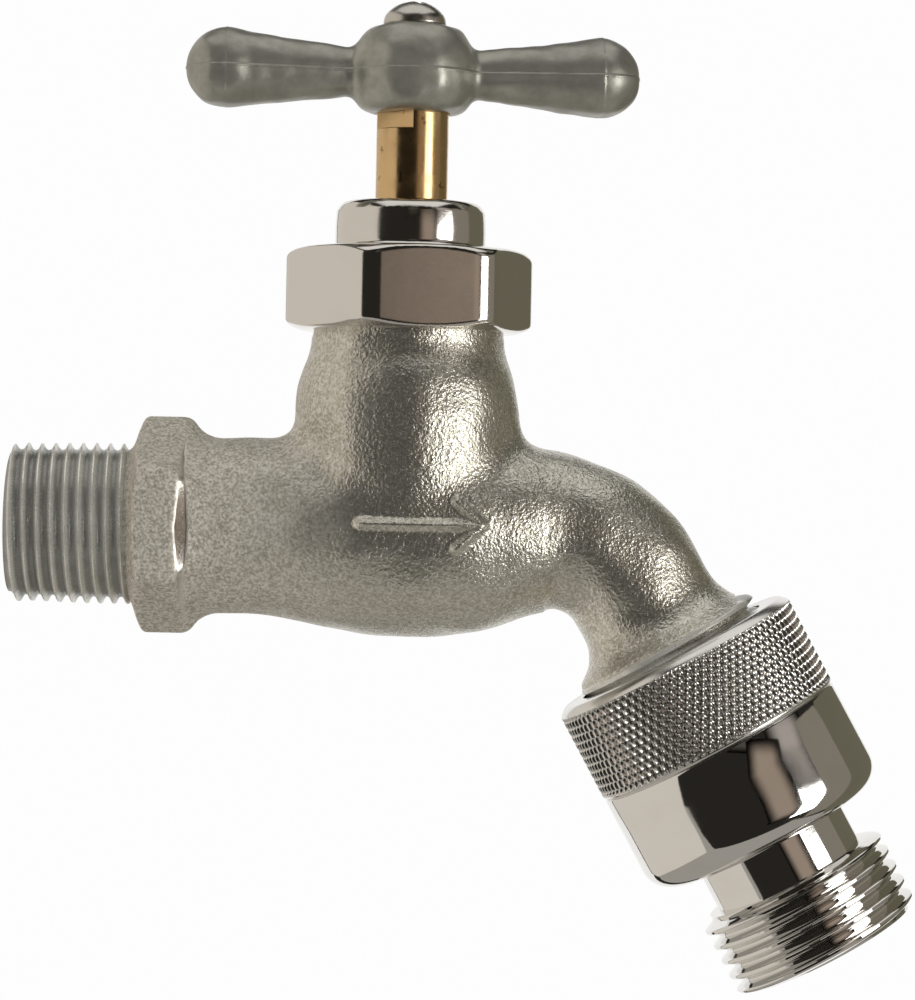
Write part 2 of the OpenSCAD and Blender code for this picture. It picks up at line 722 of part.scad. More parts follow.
valve_body();
stem();
swivel_disc();
seat_washer();
washer_screw();
packing_washer();
stem_packing();
packing_nut();
handle();
handle_screw();
knurled_collar();
hose_washer();
break_off_screw();
breaker_shell();
diaphragm();
check_poppet();
check_spring();
check_guide();
check_clip();
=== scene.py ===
"""Builds the looks of the hose bib: its casting, nut, handle, vacuum breaker, finishes and studio.

Lengths in the classes are in millimetres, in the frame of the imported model: +X along the inlet,
+Z up along the stem. `MeshMaker` turns them into metres when it makes the meshes.
"""

import logging
import math
from dataclasses import dataclass, field
from enum import Enum
from typing import Callable, Optional, Sequence, Union

import bmesh
import bpy
import numpy as np
from mathutils import Matrix, Vector


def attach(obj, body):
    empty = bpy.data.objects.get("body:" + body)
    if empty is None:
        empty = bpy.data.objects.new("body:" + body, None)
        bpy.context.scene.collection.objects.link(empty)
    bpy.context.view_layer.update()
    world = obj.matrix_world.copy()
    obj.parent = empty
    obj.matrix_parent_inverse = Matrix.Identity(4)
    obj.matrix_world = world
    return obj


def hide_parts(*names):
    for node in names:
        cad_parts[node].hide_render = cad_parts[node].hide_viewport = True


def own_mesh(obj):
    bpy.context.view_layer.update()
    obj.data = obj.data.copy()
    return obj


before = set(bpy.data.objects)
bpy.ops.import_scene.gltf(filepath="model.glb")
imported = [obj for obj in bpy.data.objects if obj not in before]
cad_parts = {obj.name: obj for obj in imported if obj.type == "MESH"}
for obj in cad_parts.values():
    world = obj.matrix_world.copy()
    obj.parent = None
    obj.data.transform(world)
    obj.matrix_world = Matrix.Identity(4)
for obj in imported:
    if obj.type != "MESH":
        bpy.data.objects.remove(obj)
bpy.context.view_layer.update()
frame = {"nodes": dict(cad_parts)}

LOG = logging.getLogger("hose_bib")
MM = 0.001
Array = np.ndarray
Field = Callable[[Array, Array, Array], Array]
Station = tuple[float, float]
Colour = tuple[float, float, float]


class Body(Enum):
    """The rigid bodies that the made pieces ride on."""

    VALVE = "valve"
    STEM = "stem_and_handle"


# ------------------------------------------------------------------ shapes as distance fields


def soft_min(a: Array, b: Array, reach: Union[float, Array]) -> Array:
    """Joins two solids with a fillet.

    Args:
        a: Distances to the first solid.
        b: Distances to the second solid.
        reach: How far from the joint the fillet starts, which may differ from place to place.

    Returns:
        Distances to the joined solid.
    """
    h = np.maximum(reach - np.abs(a - b), 0.0) / reach
    return np.minimum(a, b) - h * h * reach * 0.25


def soft_max(a: Array, b: Array, reach: float) -> Array:
    """Keeps what two solids share, with a rounded edge of the given reach."""
    return -soft_min(-a, -b, reach)


def ramp(x: Array, low: float, high: float) -> Array:
    """Rises smoothly from 0 at low to 1 at high."""
    t = np.clip((x - low) / (high - low), 0.0, 1.0)
    return t * t * (3.0 - 2.0 * t)


@dataclass(frozen=True)
class Contour:
    """A smooth radius along an axis, through a few measured stations."""

    stations: tuple[Station, ...]

    def sample(self, t: Array) -> Array:
        """Reads the radius at each place along the axis.

        Args:
            t: Places along the axis.

        Returns:
            The radius at each place, held level past both ends.
        """
        x = np.array([s[0] for s in self.stations])
        y = np.array([s[1] for s in self.stations])
        secants = np.diff(y) / np.diff(x)
        slope = np.concatenate([[secants[0]], (secants[1:] + secants[:-1]) / 2, [secants[-1]]])
        flat = np.concatenate([[False], secants[1:] * secants[:-1] <= 0, [False]])
        slope = np.where(flat, 0.0, slope)
        fine = np.linspace(x[0], x[-1], 600)
        i = np.clip(np.searchsorted(x, fine) - 1, 0, len(x) - 2)
        h = x[i + 1] - x[i]
        u = (fine - x[i]) / h
        table = (
            (2 * u**3 - 3 * u**2 + 1) * y[i]
            + (u**3 - 2 * u**2 + u) * h * slope[i]
            + (3 * u**2 - 2 * u**3) * y[i + 1]
            + (u**3 - u**2) * h * slope[i + 1]
        )
        return np.interp(t, fine, table)

    def distance(self, along: Array, out: Array) -> Array:
        """Distance to the solid of revolution with this contour, capped at its ends.

        Args:
            along: Places along the axis.
            out: Distances from the axis.

        Returns:
            Signed distances, negative inside.
        """
        side = (out - self.sample(along)) * 0.92
        low, high = self.stations[0][0], self.stations[-1][0]
        cap = np.maximum(low - along, along - high)
        return np.maximum(side, cap)


@dataclass(frozen=True)
class Grain:
    """A smooth random field, used for the lumps that sand leaves on a casting."""

    wavelength: float
    depth: float
    seed: int
    waves: int = 28

    def height(self, x: Array, y: Array, z: Array) -> Array:
        """Reads the height of the grain at each point."""
        rng = np.random.default_rng(self.seed)
        total = np.zeros(np.broadcast(x, y, z).shape)
        for _ in range(self.waves):
            way = rng.normal(size=3)
            way *= 2 * math.pi / (self.wavelength * rng.uniform(0.75, 1.5)) / np.linalg.norm(way)
            total += np.cos(way[0] * x + way[1] * y + way[2] * z + rng.uniform(0, 2 * math.pi))
        return total * self.depth / math.sqrt(self.waves / 2)


class MeshMaker:
    """Makes meshes in metres from shapes in millimetres."""

    CORNERS = [(i, j, k) for i in (0, 1) for j in (0, 1) for k in (0, 1)]

    @classmethod
    def skin(cls, solid: Field, low: Sequence[float], high: Sequence[float], step: float
             ) -> tuple[Array, Array, Array]:
        """Covers a solid, given as a distance field, with a net of quads.

        Args:
            solid: The distance field.
            low: The lowest corner of the box that is searched.
            high: The highest corner of that box.
            step: The size of a cell.

        Returns:
            The points, the quads, and the outward direction at each point.
        """
        axes = [np.arange(a, b + step, step) for a, b in zip(low, high)]
        f = solid(axes[0][:, None, None], axes[1][None, :, None], axes[2][None, None, :])
        f = f.astype(np.float32)
        inside = f < 0
        n = [s - 1 for s in f.shape]
        count = np.zeros(n, np.uint8)
        for i, j, k in cls.CORNERS:
            count += inside[i:i + n[0], j:j + n[1], k:k + n[2]]
        active = (count > 0) & (count < 8)
        number = np.full(n, -1, np.int64)
        number[active] = np.arange(int(active.sum()))
        cell = np.stack(np.nonzero(active), 1)
        total, hits = np.zeros(cell.shape), np.zeros(len(cell))
        for a in cls.CORNERS:
            for axis in range(3):
                if a[axis]:
                    continue
                b = tuple(a[m] + (m == axis) for m in range(3))
                fa = f[tuple((cell + a).T)]
                fb = f[tuple((cell + b).T)]
                cross = (fa < 0) != (fb < 0)
                t = np.where(cross, fa / np.where(cross, fa - fb, 1), 0)
                point = np.array(a, float)[None] + t[:, None] * np.eye(3)[axis][None]
                total[cross] += point[cross]
                hits += cross
        points = np.array(low) + step * (cell + total / hits[:, None])
        quads = []
        for axis in range(3):
            m, p = [(1, 2), (2, 0), (0, 1)][axis]
            here = [slice(1, -1)] * 3
            there = [slice(1, -1)] * 3
            here[axis], there[axis] = slice(0, -1), slice(1, None)
            e0, e1 = inside[tuple(here)], inside[tuple(there)]
            for flip, found in ((False, e0 & ~e1), (True, ~e0 & e1)):
                at = np.stack(np.nonzero(found), 1)
                at = at + np.array([0 if axis == q else 1 for q in range(3)])
                ring = []
                for dm, dp in ((-1, -1), (0, -1), (0, 0), (-1, 0)):
                    shift = np.zeros(3, int)
                    shift[m], shift[p] = dm, dp
                    ring.append(number[tuple((at + shift).T)])
                ring = np.stack(ring, 1)
                quads.append(ring[:, ::-1] if flip else ring)
        quads = np.concatenate(quads)
        quads = quads[(quads >= 0).all(1)]
        points, normals = cls.settle(solid, points, step)
        return points, quads, normals

    @staticmethod
    def settle(solid: Field, points: Array, step: float) -> tuple[Array, Array]:
        """Moves points onto the surface, and reads the outward direction there.

        Args:
            solid: The distance field.
            points: The points to move.
            step: The size of the cells that they came from.

        Returns:
            The moved points and the directions.
        """
        h = step * 0.12
        start = points.copy()
        normals = np.zeros_like(points)
        for turn in range(3):
            slope = np.zeros_like(points)
            for axis in range(3):
                shift = np.eye(3)[axis] * h
                ahead, back = points + shift, points - shift
                slope[:, axis] = (solid(*ahead.T) - solid(*back.T)) / (2 * h)
            size = np.maximum(np.linalg.norm(slope, axis=1, keepdims=True), 1e-6)
            normals = slope / size
            if turn < 2:
                move = normals * (solid(*points.T)[:, None] / size)
                points = start + np.clip(points - move - start, -0.6 * step, 0.6 * step)
        return points, normals

    @staticmethod
    def make(name: str, points: Array, faces: Sequence, normals: Optional[Array] = None,
             smooth: bool = True) -> bpy.types.Object:
        """Makes an object from points and faces.

        Args:
            name: The object's name.
            points: Its points, in millimetres.
            faces: Its faces, as lists of point numbers.
            normals: The outward direction at each point, if it is known.
            smooth: Whether its faces are shaded as one smooth surface.

        Returns:
            The new object.
        """
        mesh = bpy.data.meshes.new(name)
        faces = [tuple(int(i) for i in f) for f in faces]
        mesh.from_pydata((np.asarray(points) * MM).tolist(), [], faces)
        mesh.validate()
        mesh.polygons.foreach_set("use_smooth", [smooth] * len(mesh.polygons))
        if normals is not None:
            mesh.normals_split_custom_set_from_vertices(normals.tolist())
        obj = bpy.data.objects.new(name, mesh)
        bpy.context.scene.collection.objects.link(obj)
        return obj

    @staticmethod
    def weld(obj: bpy.types.Object, sharp: float) -> bpy.types.Object:
        """Joins the points that lie on each other, and sharpens edges past an angle.

        Args:
            obj: The object.
            sharp: The angle, in degrees.

        Returns:
            The object.
        """
        work = bmesh.new()
        work.from_mesh(obj.data)
        bmesh.ops.remove_doubles(work, verts=work.verts, dist=1e-6)
        work.to_mesh(obj.data)
        work.free()
        obj.data.set_sharp_from_angle(angle=math.radians(sharp))
        return obj

    @staticmethod
    def strip(rows: int, columns: int, closed: bool = True) -> list[tuple[int, ...]]:
        """Numbers the quads of a grid of rows and columns, closed round its columns."""
        last = columns if closed else columns - 1
        return [
            (r * columns + c, r * columns + (c + 1) % columns,
             (r + 1) * columns + (c + 1) % columns, (r + 1) * columns + c)
            for r in range(rows - 1) for c in range(last)
        ]


@dataclass(frozen=True)
class Axle:
    """A line in the model that turned pieces are made round."""

    origin: tuple[float, float, float]
    along: tuple[float, float, float]
    side: tuple[float, float, float]

    def place(self, along: Array, out: Array, angle: Array) -> Array:
        """Turns places along and out from the line into points.

        Args:
            along: Distances along the line.
            out: Distances from it.
            angle: Angles round it, in radians, right-handed.

        Returns:
            The points, as rows of three.
        """
        o, a, s = (np.array(v, float) for v in (self.origin, self.along, self.side))
        t = np.cross(a, s)
        along, out, angle = np.broadcast_arrays(along, out, angle)
        return (
            o
            + along[..., None] * a
            + (out * np.cos(angle))[..., None] * s
            + (out * np.sin(angle))[..., None] * t
        ).reshape(-1, 3)

    def measure(self, x: Array, y: Array, z: Array
                ) -> tuple[Array, Array]:
        """Gives the distance along the line and the distance out from it of each point."""
        dx, dy, dz = x - self.origin[0], y - self.origin[1], z - self.origin[2]
        a = self.along
        w = dx * a[0] + dy * a[1] + dz * a[2]
        return w, np.sqrt(np.maximum(dx * dx + dy * dy + dz * dz - w * w, 0.0))


@dataclass(frozen=True)
class Lathe:
    """Turns an outline of (along, out) points round an axle."""

    axle: Axle
    steps: int = 128

    def turn(self, name: str, outline: Sequence[Station], sharp: float = 32.0,
             round_edges: float = 0.0) -> bpy.types.Object:
        """Makes a turned piece.

        Args:
            name: The object's name.
            outline: The outline's points, which go up the outside and down the inside.
            sharp: The angle past which an edge is shaded as sharp.
            round_edges: How far each corner of the outline is rounded off.

        Returns:
            The new object.
        """
        path = np.array(self.eased(outline, round_edges) if round_edges else outline, float)
        angle = np.arange(self.steps) * 2 * math.pi / self.steps
        points = self.axle.place(path[:, 0, None], path[:, 1, None], angle[None])
        faces = MeshMaker.strip(len(path), self.steps)
        return MeshMaker.weld(MeshMaker.make(name, points, faces), sharp)

    @staticmethod
    def eased(outline: Sequence[Station], reach: float) -> list[Station]:
        """Rounds each corner of an outline off with a short curve.

        Args:
            outline: The outline's points.
            reach: How far from a corner its curve starts.

        Returns:
            The rounded outline.
        """
        pts = [np.array(p, float) for p in outline]
        out = [tuple(pts[0])]
        for a, b, c in zip(pts, pts[1:], pts[2:]):
            before, after = a - b, c - b
            la, lc = np.linalg.norm(before), np.linalg.norm(after)
            r = min(reach, la * 0.45, lc * 0.45)
            p, q = b + before / la * r, b + after / lc * r
            for t in (0.0, 0.25, 0.5, 0.75, 1.0):
                out.append(tuple((1 - t) ** 2 * p + 2 * t * (1 - t) * b + t * t * q))
        out.append(tuple(pts[-1]))
        return out


@dataclass(frozen=True)
class Screwing:
    """A helical thread on the outside of a bar, closed at both ends by flat faces."""

    axle: Axle
    pitch: float
    start: float
    end: float
    crest: Contour
    depth: float
    crest_flat: float = 0.1
    root_flat: float = 0.1
    hollow: float = 1.0
    start_bore: float = 1.0
    end_bore: float = 1.0
    steps: int = 96
    samples: int = 16

    def radius(self, along: Array, turn: Array) -> Array:
        """Reads the thread's radius.

        Args:
            along: Places along the axle.
            turn: Turns round the axle.

        Returns:
            The radius at each place.
        """
        part = np.mod((along - self.start) / self.pitch - turn, 1.0)
        far = 1 - np.abs(part - 0.5) * 2
        down = (far - self.crest_flat) / (1 - self.root_flat - self.crest_flat)
        down = 1 - (1 - np.clip(down, 0, 1)) ** self.hollow
        return self.crest.sample(along) - self.depth * down

    def build(self, name: str) -> bpy.types.Object:
        """Makes the threaded skin with its end faces."""
        parts = np.arange(self.samples) / self.samples
        turns = (self.end - self.start) / self.pitch + 1
        number = np.arange(-self.steps, int(turns * self.steps) + 1)
        turn = number / self.steps
        place = self.start + self.pitch * (turn[:, None] + parts[None])
        held = np.clip(place, self.start, self.end)
        radius = self.radius(held, turn[:, None])
        points = [self.axle.place(held, radius, turn[:, None] * 2 * math.pi)]
        rows, columns = place.shape
        faces = []
        for r in range(rows - 1):
            base = r * columns
            for c in range(columns - 1):
                faces.append((base + c, base + columns + c, base + columns + c + 1, base + c + 1))
            ahead = r + self.steps
            if ahead + 1 < rows:
                faces.append((base + columns - 1, base + 2 * columns - 1,
                              (ahead + 1) * columns, ahead * columns))
        offset = rows * columns
        round_turn = np.arange(self.steps) / self.steps
        for where, bore, out in ((self.start, self.start_bore, False),
                                 (self.end, self.end_bore, True)):
            edge = self.radius(np.full(self.steps, where), round_turn)
            rings = np.stack([edge, np.minimum(edge, edge * 0.5 + bore * 0.5),
                              np.full(self.steps, bore)])
            points.append(self.axle.place(np.full(rings.shape, where), rings,
                                          round_turn[None] * 2 * math.pi))
            for face in MeshMaker.strip(3, self.steps):
                face = tuple(offset + i for i in face)
                faces.append(face if out else face[::-1])
            offset += 3 * self.steps
        return MeshMaker.weld(MeshMaker.make(name, np.concatenate(points), faces), 34)


# ------------------------------------------------------------------ shader nodes


def _operator(operation: str, swapped: bool = False) -> Callable[..., "Term"]:
    """Makes an operator that adds one Math node, with its two values swapped if asked."""

    def operator(self: "Term", *others: Union["Term", float]) -> "Term":
        """Adds the node."""
        terms = [self, *others]
        return self.shader.node("ShaderNodeMath", {"operation": operation},
                                terms[::-1] if swapped else terms)

    return operator


class Term:
    """A socket of a shader, on which Python's own operators add the Math nodes."""

    def __init__(self, shader: "Shader", socket: bpy.types.NodeSocket) -> None:
        """Wraps a socket of a shader."""
        self.shader = shader
        self.socket = socket

    __add__ = __radd__ = _operator("ADD")
    __mul__ = __rmul__ = _operator("MULTIPLY")
    __sub__, __rsub__ = _operator("SUBTRACT"), _operator("SUBTRACT", True)
    __truediv__, __rtruediv__ = _operator("DIVIDE"), _operator("DIVIDE", True)
    __pow__ = _operator("POWER")
    __abs__ = _operator("ABSOLUTE")

    def clamped(self, low: float, high: float) -> "Term":
        """Maps low..high to 0..1 and holds what lies outside."""
        return self.shader.node(
            "ShaderNodeMapRange", {"clamp": True, "interpolation_type": "SMOOTHSTEP"},
            [self, low, high, 0.0, 1.0])


Input = Union[Term, float, Sequence[float], None]


class Shader:
    """The node tree of one material."""

    def __init__(self, name: str) -> None:
        """Starts an empty material with a principled surface."""
        self.material = bpy.data.materials.new(name)
        self.material.use_nodes = True
        self.tree = self.material.node_tree
        self.surface = self.tree.nodes["Principled BSDF"]

    def node(self, kind: str, settings: Optional[dict] = None,
             inputs: Union[Sequence[Input], dict, None] = None, out: Union[int, str] = 0) -> Term:
        """Adds a node.

        Args:
            kind: The node's type.
            settings: Its settings.
            inputs: Values or links for its sockets, in order or by name.
            out: The output that is wanted.

        Returns:
            That output, as a term.
        """
        made = self.tree.nodes.new(kind)
        for key, value in (settings or {}).items():
            setattr(made, key, value)
        pairs = inputs.items() if isinstance(inputs, dict) else enumerate(inputs or [])
        for key, value in pairs:
            self.feed(made.inputs[key], value)
        return Term(self, made.outputs[out])

    def feed(self, socket: bpy.types.NodeSocket, value: Input) -> None:
        """Links or sets one socket."""
        if isinstance(value, Term):
            self.tree.links.new(value.socket, socket)
        elif value is not None:
            socket.default_value = value

    def place(self, stretch: tuple[float, float, float] = (1, 1, 1)) -> Term:
        """The place on the object, in metres, stretched along each axis."""
        here = self.node("ShaderNodeTexCoord", out="Object")
        return self.node("ShaderNodeMapping", {}, {"Vector": here, "Scale": stretch})

    def length(self, share: tuple[float, float, float]) -> Term:
        """How far the place is from the origin along the chosen axes, in millimetres."""
        return self.node("ShaderNodeVectorMath", {"operation": "LENGTH"},
                         [self.place(share)], "Value") * 1000

    def noise(self, size: float, detail: float = 2.0, rough: float = 0.5,
              stretch: tuple[float, float, float] = (1, 1, 1)) -> Term:
        """A cloudy value between 0 and 1.

        Args:
            size: The size of its clouds, in millimetres.
            detail: How many finer layers it has.
            rough: How strong those layers are.
            stretch: How much finer it is along each axis.

        Returns:
            The value.
        """
        return self.node("ShaderNodeTexNoise", {}, {
            "Vector": self.place(stretch), "Scale": 1 / (size * MM), "Detail": detail,
            "Roughness": rough})

    def blend(self, share: Input, a: Input, b: Input) -> Term:
        """Mixes two colours.

        Args:
            share: How much of the second colour there is.
            a: The first colour.
            b: The second colour.

        Returns:
            The mixed colour.
        """
        made = self.tree.nodes.new("ShaderNodeMix")
        made.data_type = "RGBA"
        wide = [c if not isinstance(c, tuple) else (*c, 1.0) for c in (a, b)]
        for socket, value in zip([made.inputs[0], made.inputs[6], made.inputs[7]], [share, *wide]):
            self.feed(socket, value)
        return Term(self, made.outputs[2])

    def bump(self, height: Term, depth: float, after: Optional[Term] = None) -> Term:
        """Turns a height into a surface direction.

        Args:
            height: The height, from 0 to 1.
            depth: What a height of 1 is worth, in millimetres.
            after: A direction from an earlier bump.

        Returns:
            The direction.
        """
        return self.node("ShaderNodeBump", {}, {
            "Strength": 1.0, "Distance": depth * MM, "Height": height, "Normal": after})

    def finish(self, **sockets: Input) -> bpy.types.Material:
        """Feeds the surface's sockets and gives the material.

        Args:
            **sockets: Values by socket name, with _ in place of each space.

        Returns:
            The material.
        """
        for key, value in sockets.items():
            if isinstance(value, tuple) and len(value) == 3:
                value = (*value, 1.0)
            self.feed(self.surface.inputs[key.replace("_", " ")], value)
        return self.material


@dataclass(frozen=True)
class RoughChrome:
    """Chrome over the grainy skin of a sand casting, dull by the inlet and brighter past it, with a
    painted glint along the hexagon's right edge.
    """

    light: Colour = (0.82, 0.795, 0.73)
    dark: Colour = (0.50, 0.48, 0.40)
    dull: Colour = (0.80, 0.765, 0.69)
    grain: float = 0.75
    depth: float = 0.2

    def material(self) -> bpy.types.Material:
        """Makes the material."""
        s = Shader("rough_chrome")
        along = s.node("ShaderNodeSeparateXYZ", {}, [s.place()])
        patch = s.noise(7.0, 2.0, 0.5)
        bright = (along * 1000 + patch * 14).clamped(34.0, 56.0)
        grain = s.noise(self.grain, 2.0, 0.6)
        fine = s.noise(self.grain * 0.5, 2.0, 0.6)
        mottle = (grain * 0.4 + fine * 0.6).clamped(0.32, 0.68)
        shine = s.blend(mottle, self.dark, self.light)
        matt = s.blend(mottle, (0.40, 0.37, 0.30), self.dull)
        # A narrow vertical band at the hexagon's right edge, x = 23.1 mm: its lighter colour is a
        # painted highlight (glint). It also raises metallic, lowers roughness and flattens the
        # grain there.
        edge = abs(along * 1000 - 23.1) + s.length((0.0, 0.0, 1.0)) * 0.09
        painted_glint_band = 1 - (edge + patch * 0.8).clamped(1.15, 1.7)
        way = s.bump((grain * 0.6 + fine * 0.4) * (1 - painted_glint_band * 0.85), self.depth)
        rough = 0.60 - bright * 0.29 - mottle * 0.05
        # The band's light base colour here is the painted glint.
        return s.finish(Base_Color=s.blend(painted_glint_band, s.blend(bright, matt, shine), self.light),
                        Metallic=bright * 0.42 + painted_glint_band * 0.5 + 0.5,
                        Roughness=rough * (1 - painted_glint_band * 0.55), Normal=way)


@dataclass(frozen=True)
class PolishedChrome:
    """Bright chrome on turned and knurled brass."""

    name: str = "polished_chrome"
    light: Colour = (0.80, 0.79, 0.77)
    rough: float = 0.045
    lines: tuple[float, float, float] = (1.0, 1.0, 1.0)
    line_depth: float = 0.0012

    def material(self) -> bpy.types.Material:
        """Makes the material."""
        s = Shader(self.name)
        haze = s.noise(6.0, 3.0, 0.6).clamped(0.4, 0.75)
        lines = s.noise(0.5, 2.0, 0.5, stretch=self.lines)
        ripple = s.noise(2.4, 1.0)
        way = s.bump(lines, self.line_depth, s.bump(ripple, 0.006))
        colour = s.blend(haze * 0.25, self.light, (0.70, 0.68, 0.635))
        return s.finish(Base_Color=colour, Metallic=1.0, Roughness=self.rough + haze * 0.05,
                        Normal=way)


@dataclass(frozen=True)
class CutThread:
    """Plain machined metal, with fine tool lines round an axis, and painted shade in the thread's
    roots when a crest radius is given.
    """

    name: str = "cut_thread"
    light: Colour = (0.80, 0.785, 0.73)
    dark: Colour = (0.50, 0.49, 0.45)
    rough: float = 0.27
    lines: tuple[float, float, float] = (6.0, 0.3, 0.3)
    metal: float = 0.55
    # Radius of the thread's crests in mm. Below it the roots get painted shade; 0 paints none.
    crest: float = 0.0

    def material(self) -> bpy.types.Material:
        """Makes the material."""
        s = Shader(self.name)
        lines = s.noise(1.2, 3.0, 0.6, stretch=self.lines)
        dirt = s.noise(2.2, 4.0, 0.65).clamped(0.42, 0.68)
        colour = s.blend(dirt * 0.45, self.light, self.dark)
        # Painted shade: the colour darkens towards the thread's roots, below the crest radius.
        if self.crest:
            deep = 1 - s.length((0.0, 1.0, 1.0)).clamped(self.crest - 0.95, self.crest - 0.35)
            colour = s.blend(deep * 0.8, colour, (0.17, 0.175, 0.16))
        way = s.bump(lines, 0.01)
        return s.finish(Base_Color=colour, Metallic=self.metal,
                        Roughness=self.rough + dirt * 0.16, Normal=way)


@dataclass(frozen=True)
class StemBrass:
    """Turned yellow brass with a few stains."""

    light: Colour = (0.73, 0.51, 0.26)
    dark: Colour = (0.26, 0.17, 0.07)

    def material(self) -> bpy.types.Material:
        """Makes the material."""
        s = Shader("stem_brass")
        stain = s.noise(1.6, 2.0, 0.5).clamped(0.66, 0.72)
        cloud = s.noise(3.5, 3.0, 0.6).clamped(0.35, 0.75)
        lines = s.noise(0.6, 2.0, 0.5, stretch=(0.5, 0.5, 9.0))
        colour = s.blend(cloud * 0.35, self.light, (0.62, 0.42, 0.20))
        colour = s.blend(stain * 0.9, colour, self.dark)
        return s.finish(Base_Color=colour, Metallic=1.0, Roughness=0.17 + cloud * 0.12,
                        Normal=s.bump(lines, 0.006))


@dataclass(frozen=True)
class SatinZinc:
    """Die-cast zinc, tumbled to a satin grey."""

    light: Colour = (0.42, 0.415, 0.365)
    dark: Colour = (0.24, 0.24, 0.205)

    def material(self) -> bpy.types.Material:
        """Makes the material."""
        s = Shader("satin_zinc")
        cloud = s.noise(3.2, 4.0, 0.65).clamped(0.32, 0.72)
        grain = s.noise(0.5, 3.0, 0.6)
        dents = s.noise(1.8, 2.0, 0.5)
        colour = s.blend(cloud * 0.55, self.light, self.dark)
        way = s.bump(grain, 0.014, s.bump(dents, 0.05))
        return s.finish(Base_Color=colour, Metallic=0.72, Roughness=0.34 + cloud * 0.1,
                        Normal=way)


@dataclass(frozen=True)
class PlainFinish:
    """A rubber, plastic, packing or wire finish: one colour with its own mottle and grain."""

    name: str
    light: Colour
    dark: Colour
    rough: float
    metal: float = 0.0
    grain: float = 0.4
    depth: float = 0.02

    def material(self) -> bpy.types.Material:
        """Makes the material."""
        s = Shader(self.name)
        mottle = s.noise(self.grain * 5, 3.0, 0.6).clamped(0.3, 0.7)
        grain = s.noise(self.grain, 3.0, 0.6)
        return s.finish(Base_Color=s.blend(mottle, self.light, self.dark), Metallic=self.metal,
                        Roughness=self.rough + grain * 0.15, Normal=s.bump(grain, self.depth))


class Finishes:
    """Every finish on the tap, made once."""

    def __init__(self) -> None:
        """Makes the materials."""
        cut = (1.0, 1.0, 1.0)
        self.casting = RoughChrome().material()
        self.chrome = PolishedChrome().material()
        self.nut = PolishedChrome("nut_chrome", (0.77, 0.745, 0.71), 0.09,
                                  (0.4, 0.4, 8.0), 0.006).material()
        self.knurl = PolishedChrome("knurl_chrome", (0.82, 0.81, 0.79), 0.2, cut).material()
        # Cut thread with painted shade in its roots, below a 10.67 mm crest.
        self.cut = CutThread(crest=10.67).material()
        self.brass = StemBrass().material()
        self.zinc = SatinZinc().material()
        self.plain_brass = CutThread("plain_brass", (0.74, 0.57, 0.30), (0.42, 0.30, 0.13),
                                     0.28, (0.6, 0.6, 9.0)).material()
        self.screw = PolishedChrome("screw_nickel", (0.60, 0.575, 0.53), 0.27, cut,
                                    0.02).material()
        self.rubber = PlainFinish("seat_rubber", (0.035, 0.035, 0.04), (0.02, 0.02, 0.02),
                                  0.55).material()
        self.diaphragm = PlainFinish("diaphragm_rubber", (0.06, 0.058, 0.055),
                                     (0.03, 0.03, 0.03), 0.5).material()
        self.graphite = PlainFinish("graphite", (0.09, 0.09, 0.10), (0.04, 0.04, 0.045),
                                    0.38, 0.4, 0.3, 0.05).material()
        self.acetal = PlainFinish("acetal", (0.84, 0.83, 0.79), (0.78, 0.77, 0.72),
                                  0.32).material()
        self.wire = PlainFinish("stainless", (0.62, 0.62, 0.62), (0.48, 0.48, 0.49),
                                0.2, 1.0, 0.2, 0.004).material()


def settle_piece(obj: bpy.types.Object, finish: bpy.types.Material, body: Body, slot: str,
                 *nodes: str) -> bpy.types.Object:
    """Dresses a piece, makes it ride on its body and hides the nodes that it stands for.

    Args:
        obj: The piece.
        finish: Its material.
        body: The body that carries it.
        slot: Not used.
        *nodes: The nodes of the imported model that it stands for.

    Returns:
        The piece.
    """
    obj.data.materials.clear()
    obj.data.materials.append(finish)
    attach(obj, body.value)
    if nodes:
        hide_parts(*nodes)
    LOG.info("%s: %d faces, on %s", obj.name, len(obj.data.polygons), body.value)
    return obj


# ------------------------------------------------------------------ the pieces

STEM_X = 52.1
FLATS_TURN = 51.0
BEND_X, BEND_RADIUS, BEND_TURN = 70.7, 14.4, math.radians(61.0)
HANDLE_FOOT, HANDLE_TOP = 55.4, 67.1
HEX_HALF = 12.7
INLET = Axle((0.0, 0.0, 0.0), (1.0, 0.0, 0.0), (0.0, 1.0, 0.0))
STEM = Axle((STEM_X, 0.0, 0.0), (0.0, 0.0, 1.0), (1.0, 0.0, 0.0))
OUTLET = Axle((87.949, 0.0, -15.615), (0.48481, 0.0, -0.87462), (0.0, 1.0, 0.0))


def rod(axle: Axle, radius: float, low: float, high: float) -> Field:
    """Makes a bar round an axle.

    Args:
        axle: The line it is round.
        radius: Its radius.
        low: Where it starts along the line.
        high: Where it ends.

    Returns:
        Its distance field.
    """

    def distance(x: Array, y: Array, z: Array) -> Array:
        """Distance to the bar."""
        w, r = axle.measure(x, y, z)
        return np.maximum(r - radius, np.maximum(low - w, w - high))

    return distance


